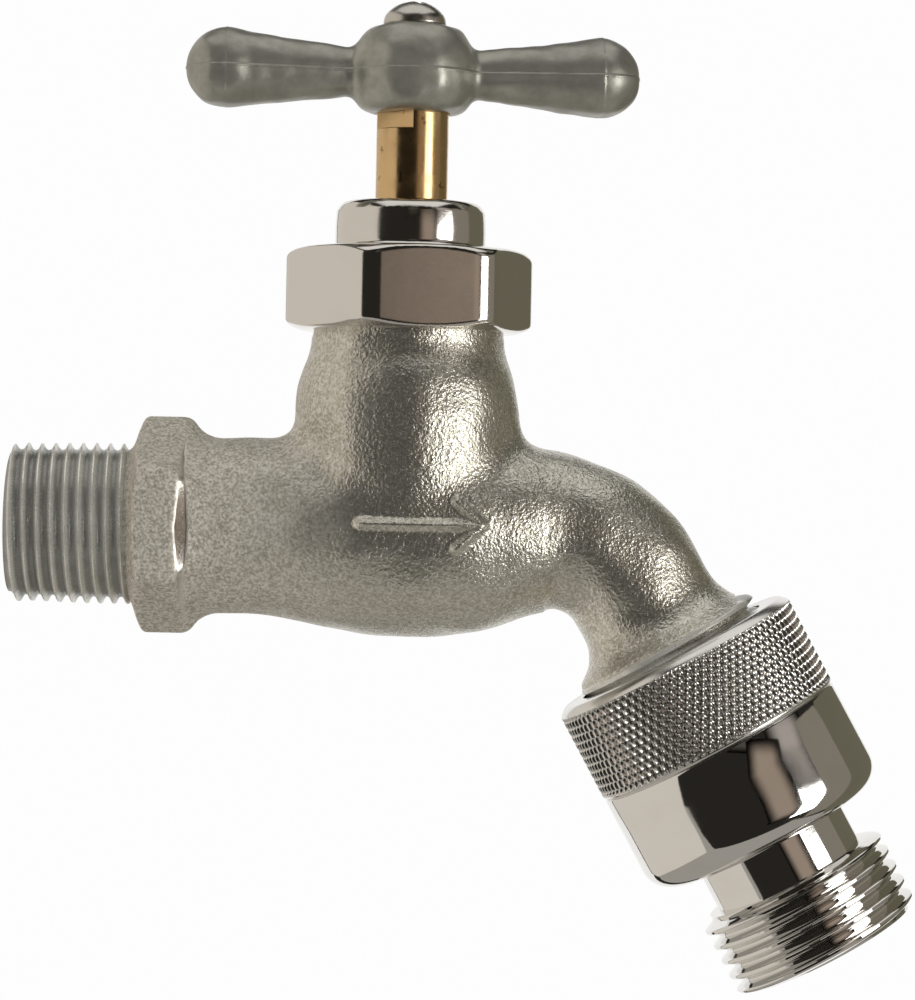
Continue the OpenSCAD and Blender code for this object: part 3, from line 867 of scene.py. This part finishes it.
@dataclass
class Casting:
    """The cast body: wrench hexagon, barrel, bulb, bent spout, and the threads cut on its ends."""

    pipe: Contour = Contour((
        (15.2, 9.75), (23.0, 11.68), (24.0, 11.7), (34.0, 11.8), (38.0, 12.4), (42.0, 13.3),
        (46.0, 13.9), (50.0, 14.15), (54.0, 14.2), (58.0, 14.0), (62.0, 13.45), (66.0, 12.4),
        (69.0, 11.35), (71.0, 10.75), (74.0, 10.2), (78.0, 9.9), (83.0, 9.6), (86.0, 9.5),
        (88.6, 9.4), (90.0, 9.55), (90.8, 9.85), (91.6, 10.25), (92.4, 10.8), (93.2, 11.7),
        (93.9, 12.5), (94.5, 12.7), (95.2, 12.72)))
    bulb: Contour = Contour((
        (-9.0, 9.0), (-8.0, 10.0), (-4.0, 12.6), (0.0, 13.7), (4.0, 14.3), (8.0, 14.7),
        (12.0, 14.85), (15.0, 14.95), (17.0, 14.85), (19.0, 14.5), (21.0, 13.85),
        (23.0, 13.05), (24.5, 12.65), (27.0, 12.5), (27.6, 12.15), (33.5, 12.15)))
    lumps: Grain = Grain(7.5, 0.085, 5)
    step: float = 0.34

    def hexagon(self, x: Array, y: Array, z: Array) -> Array:
        """Distance to the wrench hexagon, whose corners point up and down."""
        sides = [np.abs(y), np.abs(y * 0.5 + z * 0.8660254), np.abs(y * 0.5 - z * 0.8660254)]
        d = soft_max(soft_max(sides[0], sides[1], 0.9), sides[2], 0.9) - HEX_HALF
        slope = (sides[0] - HEX_HALF + (x - 21.8) * 0.44) * 0.915
        steep = np.maximum(sides[1], sides[2]) - HEX_HALF
        steep = (steep + (x - 21.9 - 0.2 * np.maximum(np.abs(z) - 7.3, 0)) * 0.95) * 0.72
        left = (np.sqrt(y * y + z * z) - 11.0 - (x - 16.17) * 2.9) * 0.326
        d = soft_max(soft_max(soft_max(d, slope, 0.4), steep, 0.8), left, 0.7)
        return soft_max(d, np.maximum(16.17 - x, x - 27.5), 0.3)

    def arrow(self, x: Array, z: Array) -> Array:
        """How far the flow arrow's rounded strokes rise from the casting's side."""
        ends = (((46.5, 0.8), (62.5, 0.8)), ((59.0, 3.9), (62.5, 0.8)), ((59.0, -2.3), (62.5, 0.8)))
        near = np.full(x.shape, 9.0)
        for (x0, z0), (x1, z1) in ends:
            span = np.array([x1 - x0, z1 - z0])
            share = np.clip(((x - x0) * span[0] + (z - z0) * span[1]) / (span @ span), 0, 1)
            near = np.minimum(near, np.hypot(x - x0 - share * span[0], z - z0 - share * span[1]))
        return 0.8 * ramp(near, 1.15, -0.25)

    def bend(self, x: Array, y: Array, z: Array
             ) -> tuple[Array, Array]:
        """Gives how far round the bend each point is, and how far out from its middle line."""
        u, v = x - BEND_X, z + 14.2
        turn = np.clip(np.arctan2(u, v), 0.0, BEND_TURN)
        du, dv = u - BEND_RADIUS * np.sin(turn), v - BEND_RADIUS * np.cos(turn)
        return turn, np.sqrt(du * du + dv * dv + y * y)

    def tube(self, x: Array, y: Array, z: Array) -> Array:
        """Distance to the whole run of pipe: barrel, belly, bend and flared tail."""
        straight = np.sqrt(y * y + (z - 0.2 * ramp(x, 62.0, BEND_X)) ** 2) - self.pipe.sample(x)
        straight = np.maximum(straight * 0.95, np.maximum(15.2 - x, x - 70.75))
        turn, out = self.bend(x, y, z)
        bent = (out - self.pipe.sample(BEND_X + BEND_RADIUS * turn)) * 0.97
        w, r = OUTLET.measure(x, y, z)
        tail = (r - self.pipe.sample(95.63 + w)) * 0.85
        tail = np.maximum(tail, np.maximum(-9.7 - w, w + 0.45))
        return np.minimum(np.minimum(straight, bent), tail)

    def outside(self, x: Array, y: Array, z: Array) -> Array:
        """Distance to the casting with its hollows filled."""
        w, r = STEM.measure(x, y, z)
        far = np.sqrt(y * y + z * z)
        alike = np.clip(y * y / np.maximum(r * far, 1.0), 0.0, 1.0)
        d = soft_min(self.tube(x, y, z), self.bulb.distance(w, r),
                     0.6 + 2.6 * (1 - alike))
        d = soft_min(d, self.hexagon(x, y, z), 1.6)
        rough = ramp(x, 25.0, 30.0) * (1 - ramp(w, 25.0, 26.2))
        d = d + self.lumps.height(x, y, z) * rough
        return d - np.where(y < 0, self.arrow(x, z), 0.0)

    def hollow(self, x: Array, y: Array, z: Array) -> Array:
        """Distance to the space inside the casting."""
        spaces = [
            rod(INLET, 7.25, -2.0, 38.1), rod(STEM, 5.0, -4.2, 1.0), rod(STEM, 10.6, 0.0, 17.0),
            rod(STEM, 8.75, 16.0, 35.0), rod(INLET, 6.8, 61.5, 71.0),
            rod(OUTLET, 6.8, -9.7, 1.0)]
        d = self.bend(x, y, z)[1] - 6.7
        for space in spaces:
            d = np.minimum(d, space(x, y, z))
        w, r = INLET.measure(x, y, z)
        duct = np.maximum(r - self.pipe.sample(w) + 2.6, np.maximum(28.6 - x, x - 59.1))
        return np.minimum(d, np.maximum(duct, z + 3.2))

    def solid(self, x: Array, y: Array, z: Array) -> Array:
        """Distance to the casting."""
        return soft_max(self.outside(x, y, z), -self.hollow(x, y, z), 0.4)

    def mesh(self) -> list[bpy.types.Object]:
        """Makes the casting, the pipe thread and the stub of hose thread."""
        body = MeshMaker.make("casting", *MeshMaker.skin(
            self.solid, (15.0, -16.6, -27.2), (96.0, 16.6, 34.2), self.step))
        inlet = Screwing(
            INLET, 1.814, -0.45, 15.86,
            Contour(((-0.45, 9.95), (0.2, 10.42), (3.0, 10.5), (9.0, 10.66), (15.86, 10.67))),
            0.9, 0.1, 0.04, 2.0, 7.26, 7.26, samples=20).build("inlet_thread")
        bore = Lathe(INLET).turn("inlet_bore", ((15.9, 7.26), (-0.45, 7.26)))
        stub = Screwing(
            OUTLET, 2.209, -2.3, 6.4,
            Contour(((-2.3, 12.3), (-1.4, 13.0), (6.4, 13.0))), 1.2, 0.28, 0.2, 1.0, 7.0, 6.81
        ).build("spout_thread")
        return [body, inlet, bore, stub]

    def dress(self, finishes: Finishes) -> None:
        """Makes and finishes the pieces."""
        body, inlet, bore, stub = self.mesh()
        settle_piece(body, finishes.casting, Body.VALVE, "rough_chrome", "valve_body")
        for cut in (inlet, bore, stub):
            settle_piece(cut, finishes.cut, Body.VALVE, "rough_chrome")


@dataclass
class PackingNut:
    """The hexagonal nut with a conical crown that holds the packing down."""

    across: float = 29.8
    angle: float = 10.0
    foot: float = 26.2
    top: float = 37.25
    step: float = 0.22

    def solid(self, x: Array, y: Array, z: Array) -> Array:
        """Distance to the nut."""
        w, r = STEM.measure(x, y, z)
        d = None
        for k in range(3):
            a = math.radians(self.angle + 30 + 60 * k)
            side = np.abs((x - STEM_X) * math.cos(a) + y * math.sin(a)) - self.across / 2
            d = side if d is None else soft_max(d, side, 2.2)
        corner = self.across / 2 / math.cos(math.pi / 6)
        low = ((r - corner + 2.8) * 1.3 - (w - self.foot) * 2.8) / 3.09
        high = ((r - corner + 2.4) * 1.2 - (self.top - w) * 2.4) / 2.68
        d = soft_max(soft_max(d, low, 0.5), high, 0.7)
        d = soft_max(d, np.maximum(self.foot - w, w - self.top), 0.5)
        crown = (r - 11.0 + np.maximum(w - self.top, 0) * 0.2035) * 0.98
        lip = (r - 10.02 + np.maximum(w - 42.2, 0) * 0.75) * 0.8
        crown = soft_max(soft_max(crown, lip, 0.5), w - 43.55, 0.8)
        d = soft_min(d, np.maximum(crown, 30.0 - w), 0.9)
        bores = np.minimum(rod(STEM, 4.87, 30.0, 45.0)(x, y, z),
                           rod(STEM, 8.36, 34.0, 40.75)(x, y, z))
        bores = np.minimum(bores, rod(STEM, 12.3, 25.0, 35.0)(x, y, z))
        return soft_max(d, -bores, 0.35)

    def dress(self, finishes: Finishes) -> None:
        """Makes and finishes the nut."""
        obj = MeshMaker.make("packing_nut_skin", *MeshMaker.skin(
            self.solid, (34.4, -17.7, 25.8), (69.8, 17.7, 44.0), self.step))
        settle_piece(obj, finishes.nut, Body.VALVE, "plated_brass", "packing_nut")


@dataclass
class Stem:
    """The turned stem with its lifting thread and its flattened end."""

    radius: float = 4.8
    across: float = 7.2
    turned: float = FLATS_TURN
    steps: int = 160

    def shaft(self) -> bpy.types.Object:
        """Makes the turned part, from the socket in its foot to the shoulder."""
        outline = ((12.4, 0.0), (12.4, 3.07), (7.75, 3.07), (7.75, 2.42), (6.85, 2.42),
                   (6.85, 6.3), (7.1, 6.6), (14.45, 6.6), (14.45, 7.0), (29.05, 7.0),
                   (29.65, 4.8), (53.1, 4.8), (53.2, 4.7), (53.2, 0.0))
        return Lathe(STEM, 96).turn("stem_shaft", outline)

    def thread(self) -> bpy.types.Object:
        """Makes the lifting thread."""
        return Screwing(STEM, 2.5, 15.75, 28.15, Contour(((15.75, 8.2), (28.15, 8.2))), 1.22,
                        0.3, 0.3, 1.0, 6.5, 6.5, 72).build("stem_thread")

    def end(self) -> bpy.types.Object:
        """Makes the end with two flats, whose other sides keep the shaft's curve."""
        angles = np.arange(self.steps) * 2 * math.pi / self.steps
        side = self.across / 2 / np.maximum(np.abs(np.cos(angles)), 0.1)
        outline = np.minimum(side, self.radius - 0.01)
        levels = ((52.9, 0.0), (64.4, 0.0), (64.9, 0.45))
        rings = [outline - cut for _, cut in levels] + [np.full(self.steps, 1e-4)]
        heights = [h for h, _ in levels] + [64.9]
        turn = math.radians(self.turned)
        points = np.concatenate([
            STEM.place(np.full(self.steps, h), ring, angles + turn)
            for h, ring in zip(heights, rings)])
        return MeshMaker.weld(
            MeshMaker.make("stem_end", points, MeshMaker.strip(len(rings), self.steps)), 18)

    def dress(self, finishes: Finishes) -> None:
        """Makes and finishes the stem."""
        settle_piece(self.shaft(), finishes.brass, Body.STEM, "brass", "stem")
        settle_piece(self.thread(), finishes.plain_brass, Body.STEM, "brass")
        settle_piece(self.end(), finishes.brass, Body.STEM, "brass")


@dataclass
class TeeHandle:
    """The die-cast tee handle: a truncated ball with two tapering arms that end in balls."""

    middle: float = 60.75
    angle: float = 5.0
    reach: float = 24.9
    dents: Grain = Grain(4.0, 0.05, 21)
    step: float = 0.22

    def solid(self, x: Array, y: Array, z: Array) -> Array:
        """Distance to the handle."""
        a = math.radians(self.angle)
        u = np.abs((x - STEM_X) * math.cos(a) + y * math.sin(a))
        v = y * math.cos(a) - (x - STEM_X) * math.sin(a)
        h = z - self.middle
        out = np.sqrt(v * v + h * h)
        arm_radius = np.interp(u, (0.0, 8.0, self.reach), (2.8, 3.15, 5.28))
        arm = np.maximum((out - arm_radius) * 0.97, u - self.reach)
        ball = np.sqrt((u - self.reach) ** 2 + v * v + h * h) - 5.4
        hub = np.sqrt(u * u + v * v + h * h) - 8.5
        d = soft_min(soft_min(arm, ball, 0.5), hub, 1.4)
        d = soft_max(d, np.maximum(HANDLE_FOOT - z, z - HANDLE_TOP), 1.1)
        d = d + self.dents.height(x, y, z)
        seam = soft_max(d - 0.09, np.abs(h + 0.05) - 0.14, 0.12)
        d = soft_min(d, seam, 0.15)
        t = math.radians(FLATS_TURN)
        flats = np.abs((x - STEM_X) * math.cos(t) + y * math.sin(t)) - 3.65
        socket = np.maximum(np.maximum(flats, STEM.measure(x, y, z)[1] - 4.85), z - 65.2)
        return soft_max(soft_max(d, -socket, 0.3), -rod(STEM, 2.3, 64.0, 68.0)(x, y, z), 0.3)

    def dress(self, finishes: Finishes) -> None:
        """Makes and finishes the handle."""
        obj = MeshMaker.make("tee_handle", *MeshMaker.skin(
            self.solid, (21.2, -9.3, 54.8), (83.0, 9.3, 67.6), self.step))
        settle_piece(obj, finishes.zinc, Body.STEM, "zinc", "handle")


@dataclass
class HandleScrew:
    """The domed screw with a cross recess that holds the handle on the stem."""

    seat: float = HANDLE_TOP
    turned: float = 30.0

    def solid(self, x: Array, y: Array, z: Array) -> Array:
        """Distance to the screw."""
        w, r = STEM.measure(x, y, z)
        w = w - self.seat
        dome = np.sqrt(r * r + (w - 3.3 + 4.98) ** 2) - 4.98
        head = soft_max(soft_max(r - 4.2, dome, 0.5), -w, 0.35)
        d = np.minimum(head, np.maximum(r - 2.0, np.maximum(-7.0 - w, w - 0.5)))
        for k in range(2):
            a = math.radians(self.turned + 90 * k)
            u = np.abs((x - STEM_X) * math.cos(a) + y * math.sin(a))
            v = np.abs(y * math.cos(a) - (x - STEM_X) * math.sin(a))
            deep = np.clip(3.3 - w, 0.0, 1.9)
            slot = np.maximum(np.maximum(u - 2.2 + deep * 0.45, v - 0.5 + deep * 0.1), 1.5 - w)
            d = soft_max(d, -slot, 0.2)
        return d

    def dress(self, finishes: Finishes) -> None:
        """Makes and finishes the screw."""
        obj = MeshMaker.make("domed_screw", *MeshMaker.skin(
            self.solid, (47.6, -4.5, 59.9), (56.6, 4.5, 70.7), 0.13))
        settle_piece(obj, finishes.screw, Body.STEM, "screw_nickel", "handle_screw")


@dataclass
class KnurledCollar:
    """The collar that screws on the spout, with a diamond knurl and a sunk break-off screw."""

    radius: float = 17.1
    around: int = 90
    rise: float = 2.13
    depth: float = 0.42
    samples: int = 12

    def profile(self) -> list[tuple[float, float, float]]:
        """Gives the outline as (along, out, share of the knurl)."""
        r = self.radius
        rows = [(0.0, 13.25, 0.0), (0.0, 15.9, 0.0), (0.12, 16.2, 0.0), (0.75, r - 0.22, 0.0),
                (0.95, r - 0.1, 0.0)]
        places = np.arange(1.1, 12.85, self.rise / 16)
        rows += [(w, r, float(min(1, (w - 1.1) / 0.25, (12.85 - w) / 0.25))) for w in places]
        rows += [(12.85, r, 0.0), (13.0, r - 0.03, 0.0), (13.15, r - 0.15, 0.0),
                 (13.4, r - 0.42, 0.0), (13.4, 15.0, 0.0), (16.5, 15.0, 0.0),
                 (16.5, 12.5, 0.0), (12.3, 12.5, 0.0), (12.3, 7.3, 0.0), (10.5, 7.3, 0.0),
                 (10.5, 13.7, 0.0), (8.0, 13.7, 0.0), (8.0, 13.25, 0.0), (0.0, 13.25, 0.0)]
        return rows

    def mesh(self) -> bpy.types.Object:
        """Makes the collar."""
        rows = np.array(self.profile())
        columns = self.around * self.samples
        turn = np.arange(columns) / columns
        along, out, share = (rows[:, i, None] for i in range(3))
        u, v = turn[None] * self.around, along / self.rise
        waves = sum(np.cos(2 * math.pi * q) for q in (u + v, u - v, 2 * u))
        height = np.clip((waves + 1.5) / 4.5 * 1.25, 0, 1)
        radius = out - self.depth * share * (1 - height)
        span = self.radius * np.abs(np.mod(turn + 0.5, 1.0) - 0.5)[None] * 2 * math.pi
        near = np.hypot(span, along - 4.0)
        outer = (share > 0) | ((along < 1.2) & (out > 16.5))
        radius = np.where(outer & (near < 2.35), 16.35, radius)
        points = OUTLET.place(np.broadcast_to(along, radius.shape), radius,
                              turn[None] * 2 * math.pi)
        return MeshMaker.weld(
            MeshMaker.make("collar_knurl", points, MeshMaker.strip(len(rows), columns)), 24)

    def dress(self, finishes: Finishes) -> None:
        """Makes and finishes the collar."""
        settle_piece(self.mesh(), finishes.knurl, Body.VALVE, "polished_chrome",
                     "knurled_collar")


@dataclass
class BreakerShell:
    """The smooth shell of the vacuum breaker, with its neck, hose thread and vent holes."""

    vents: int = 6
    vent_ring: float = 11.8
    vent_radius: float = 0.9

    def outline(self) -> list[Station]:
        """Gives the shell's closed outline, from the collar to the thread and back inside."""
        arc = [(24.2 + 3.5 * math.sin(a), 13.5 + 3.5 * math.cos(a))
               for a in np.linspace(0, math.pi / 2, 14)]
        return [(13.4, 15.07), (13.4, 16.7), (13.48, 16.9), (13.7, 17.0), (18.0, 17.0),
                (22.0, 17.0), *arc, (27.7, 11.0), (27.8, 10.65), (28.1, 10.4), (33.75, 10.4),
                (33.75, 7.21), (31.07, 7.21), (31.07, 7.9), (18.0, 7.9), (18.0, 9.4),
                (18.8, 9.4), (24.5, 9.4), (24.5, 12.6), (18.0, 12.6), (18.0, 14.1),
                (16.5, 14.1), (16.5, 15.07), (13.4, 15.07)]

    def mesh(self) -> list[bpy.types.Object]:
        """Makes the shell with its vent holes, and the threaded end."""
        shell = Lathe(OUTLET, 192).turn("shell_turned", self.outline(), 28)
        cutters = []
        for k in range(self.vents):
            a = 2 * math.pi * k / self.vents
            centre = OUTLET.place(np.array(25.5), np.array(self.vent_ring), np.array(a))[0]
            hole = Lathe(Axle(tuple(centre), OUTLET.along, OUTLET.side), 24).turn(
                f"vent_{k}", ((-2.0, 0.0), (-2.0, self.vent_radius), (4.0, self.vent_radius),
                              (4.0, 0.0)))
            cut = shell.modifiers.new(hole.name, "BOOLEAN")
            cut.operation, cut.solver, cut.object = "DIFFERENCE", "EXACT", hole
            cutters.append(hole)
        bpy.context.view_layer.update()
        whole = bpy.data.meshes.new_from_object(
            shell.evaluated_get(bpy.context.evaluated_depsgraph_get()))
        shell.modifiers.clear()
        shell.data = whole
        shell.data.set_sharp_from_angle(angle=math.radians(28))
        for hole in cutters:
            bpy.data.objects.remove(hole)
        thread = Screwing(
            OUTLET, 2.209, 33.7, 44.74,
            Contour(((33.7, 12.5), (34.4, 13.33), (36.0, 13.35), (43.9, 13.35), (44.74, 12.7))),
            1.35, 0.2, 0.2, 1.0, 9.0, 7.21, 144).build("hose_thread_skin")
        bore = Lathe(OUTLET).turn("outlet_bore", ((44.74, 7.21), (33.7, 7.21)))
        return [shell, thread, bore]

    def dress(self, finishes: Finishes) -> None:
        """Makes and finishes the shell."""
        for obj, nodes in zip(self.mesh(), (["breaker_shell"], [], [])):
            settle_piece(obj, finishes.chrome, Body.VALVE, "polished_chrome", *nodes)


@dataclass
class CheckSpring:
    """The coil spring behind the check poppet."""

    turns: float = 5.0
    mean: float = 3.1
    wire: float = 0.35

    def mesh(self) -> bpy.types.Object:
        """Makes the coil."""
        steps, ring = int(self.turns * 48), 14
        t = np.arange(steps + 1) / steps
        low, high = 20.1 + self.wire, 28.0 - self.wire
        w = low + (high - low) * t
        angle = t * self.turns * 2 * math.pi
        b = np.arange(ring) * 2 * math.pi / ring
        points = OUTLET.place(w[:, None] + self.wire * np.sin(b)[None],
                              self.mean + self.wire * np.cos(b)[None], angle[:, None])
        faces = [f[::-1] for f in MeshMaker.strip(steps + 1, ring)]
        faces += [tuple(range(ring)), tuple(steps * ring + i for i in range(ring))[::-1]]
        return MeshMaker.make("spring_coil", points, faces)

    def dress(self, finishes: Finishes) -> None:
        """Makes and finishes the spring."""
        obj = settle_piece(self.mesh(), finishes.wire, Body.VALVE, "stainless",
                           "check_spring")
        anchor = OUTLET.place(np.array(28.05), np.array(0.0), np.array(0.0))[0] * MM
        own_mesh(obj)


@dataclass
class Innards:
    """The turned and moulded pieces inside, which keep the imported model's own meshes."""

    def dress(self, finishes: Finishes) -> None:
        """Finishes the pieces."""
        nodes = frame["nodes"]
        for name, finish in (
                ("swivel_disc", finishes.plain_brass), ("seat_washer", finishes.rubber),
                ("washer_screw", finishes.plain_brass), ("packing_washer", finishes.plain_brass),
                ("stem_packing", finishes.graphite), ("hose_washer", finishes.rubber),
                ("break_off_screw", finishes.plain_brass), ("diaphragm", finishes.diaphragm),
                ("check_poppet", finishes.acetal), ("check_guide", finishes.acetal),
                ("check_clip", finishes.wire)):
            nodes[name].data.materials.clear()
            nodes[name].data.materials.append(finish)


@dataclass
class HoseBib:
    """The whole tap."""

    parts: tuple = field(default_factory=lambda: (
        Casting(), PackingNut(), Stem(), TeeHandle(), HandleScrew(), KnurledCollar(),
        BreakerShell(), CheckSpring(), Innards()))

    def dress(self) -> None:
        """Makes and finishes every piece."""
        finishes = Finishes()
        for part in self.parts:
            part.dress(finishes)


# ------------------------------------------------------------------ the studio


@dataclass(frozen=True)
class Card:
    """A glowing flat card that shows in the chrome.

    Its bearing is in degrees round the tap from the front, growing to the right, and its climb
    is in degrees above the horizon. Its top edge may lean up to the right.
    """

    name: str
    bearing: float
    climb: float
    distance: float
    size: tuple[float, float]
    colour: Colour
    strength: float
    lean: float = 0.0
    soft: float = 0.0

    def build(self, middle: Vector) -> bpy.types.Object:
        """Makes the card.

        Args:
            middle: The point that it faces.

        Returns:
            The card.
        """
        b, c = math.radians(self.bearing), math.radians(self.climb)
        to = Vector((math.sin(b) * math.cos(c), -math.cos(b) * math.cos(c), math.sin(c)))
        wide = Vector((math.cos(b), math.sin(b), 0.0))
        tall = to.cross(wide)
        centre = middle + to * self.distance * MM
        half, high = self.size[0] * MM / 2, self.size[1] * MM / 2
        lean = self.lean * MM
        points = [centre + wide * i * half + tall * (j * high + (i * lean if j > 0 else 0))
                  for i, j in ((-1, -1), (1, -1), (1, 1), (-1, 1))]
        mesh = bpy.data.meshes.new(self.name)
        mesh.from_pydata([tuple(p) for p in points], [], [(0, 1, 2, 3)])
        obj = bpy.data.objects.new(self.name, mesh)
        bpy.context.scene.collection.objects.link(obj)
        shader = Shader(self.name)
        glow: Input = self.colour
        if self.soft:
            corners = mesh.uv_layers.new(name="card").data
            for corner, place in zip(corners, ((0, 0), (1, 0), (1, 1), (0, 1))):
                corner.uv = place
            here = shader.node("ShaderNodeTexCoord", out="UV")
            sides = [1 - abs(shader.node("ShaderNodeSeparateXYZ", {}, [here], i) * 2 - 1)
                     for i in (0, 1)]
            fade = sides[0].clamped(0.0, self.soft) * sides[1].clamped(0.0, self.soft)
            glow = shader.blend(fade, (0.0, 0.0, 0.0), self.colour)
        mesh.materials.append(shader.finish(
            Base_Color=(0.0, 0.0, 0.0), Specular_IOR_Level=0.0,
            Emission_Color=glow, Emission_Strength=self.strength))
        obj.visible_camera = False
        return obj


@dataclass
class Studio:
    """The camera, the backdrop and the light."""

    middle: Vector = field(default_factory=lambda: Vector((0.0591, 0.0, 0.004)))
    room: float = 3000.0
    dim: Colour = (0.022, 0.02, 0.017)

    def camera(self) -> None:
        """Places the camera."""
        roll = math.radians(1.15)
        data = bpy.data.cameras.new("camera")
        data.lens, data.sensor_width = 135.0, 36.0
        data.clip_start, data.clip_end = 0.01, 50.0
        obj = bpy.data.objects.new("camera", data)
        right = Vector((math.cos(roll), 0.0, math.sin(roll)))
        up = Vector((-math.sin(roll), 0.0, math.cos(roll)))
        turn = Matrix((right, up, Vector((0, -1, 0)))).transposed().to_4x4()
        obj.matrix_world = Matrix.Translation(Vector((0.05906, -0.5, 0.00405))) @ turn
        bpy.context.scene.collection.objects.link(obj)
        bpy.context.scene.camera = obj

    def backdrop(self) -> bpy.types.Object:
        """Makes the pale room round the tap, the same from every side."""
        points = [(x, y, z) for x in (-1, 1) for y in (-1, 1) for z in (-1, 1)]
        faces = [(0, 1, 3, 2), (4, 6, 7, 5), (0, 4, 5, 1), (2, 3, 7, 6), (0, 2, 6, 4),
                 (1, 5, 7, 3)]
        obj = MeshMaker.make("pale_room", np.array(points) * self.room, faces, smooth=False)
        shader = Shader("pale_room")
        obj.data.materials.append(shader.finish(
            Base_Color=(0.0, 0.0, 0.0), Specular_IOR_Level=0.0,
            Emission_Color=(1.0, 1.0, 1.0), Emission_Strength=0.985))
        obj.visible_shadow = False
        obj.visible_glossy = False
        obj.visible_diffuse = False
        return obj

    def fill(self) -> None:
        """Places the broad soft lamp in front, which the chrome doesn't show."""
        data = bpy.data.lights.new("fill", "AREA")
        data.shape, data.size, data.energy = "SQUARE", 0.6, 5.0
        lamp = bpy.data.objects.new("fill", data)
        spot = self.middle + Vector((-0.15, -0.9, 0.2))
        lamp.matrix_world = (Matrix.Translation(spot) @ (self.middle - spot).to_track_quat(
            "-Z", "Y").to_matrix().to_4x4())
        lamp.visible_glossy = False
        lamp.visible_camera = False
        bpy.context.scene.collection.objects.link(lamp)

    def surroundings(self) -> None:
        """Sets the dim warm surroundings."""
        world = bpy.data.worlds.new("room")
        world.use_nodes = True
        back = world.node_tree.nodes["Background"]
        back.inputs["Color"].default_value = (*self.dim, 1.0)
        bpy.context.scene.world = world

    def build(self) -> None:
        """Sets the whole studio up."""
        cards = [
            Card("left", -100.0, 0.0, 430.0, (1020.0, 1000.0), (1.0, 0.93, 0.84), 0.68),
            Card("room", 4.0, 26.0, 800.0, (300.0, 330.0), (1.0, 0.9, 0.75), 0.08, 0.0, 0.6),
            Card("front", 27.0, 4.0, 600.0, (330.0, 460.0), (1.0, 0.80, 0.64), 0.34, 0.0, 0.7),
            Card("softbox", 53.0, -4.3, 700.0, (340.0, 405.0), (1.0, 0.99, 0.96), 4.6, 52.0),
            Card("over_softbox", 52.0, 27.0, 790.0, (560.0, 640.0), (1.0, 0.90, 0.82), 0.42, 0.0,
                 0.8),
            Card("right", 84.0, 0.0, 520.0, (320.0, 700.0), (1.0, 0.90, 0.74), 0.24),
            Card("behind_right", 136.0, 0.0, 520.0, (730.0, 800.0), (1.0, 0.93, 0.66), 0.15),
            Card("behind", 180.0, 0.0, 420.0, (440.0, 600.0), (1.0, 0.99, 0.97), 0.95),
            Card("below", 0.0, -90.0, 620.0, (1700.0, 1400.0), (1.0, 0.95, 0.86), 0.36),
            Card("above", 0.0, 90.0, 700.0, (900.0, 800.0), (1.0, 0.98, 0.94), 0.8)]
        self.fill()
        self.backdrop()
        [card.build(self.middle) for card in cards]
        self.surroundings()
        bpy.context.scene.view_settings.view_transform = "Standard"


def main() -> None:
    """Builds the studio and the tap."""
    logging.basicConfig(level=logging.INFO, format="%(message)s")
    studio = Studio()
    studio.camera()
    HoseBib().dress()
    studio.build()


if __name__ == "__main__":
    main()
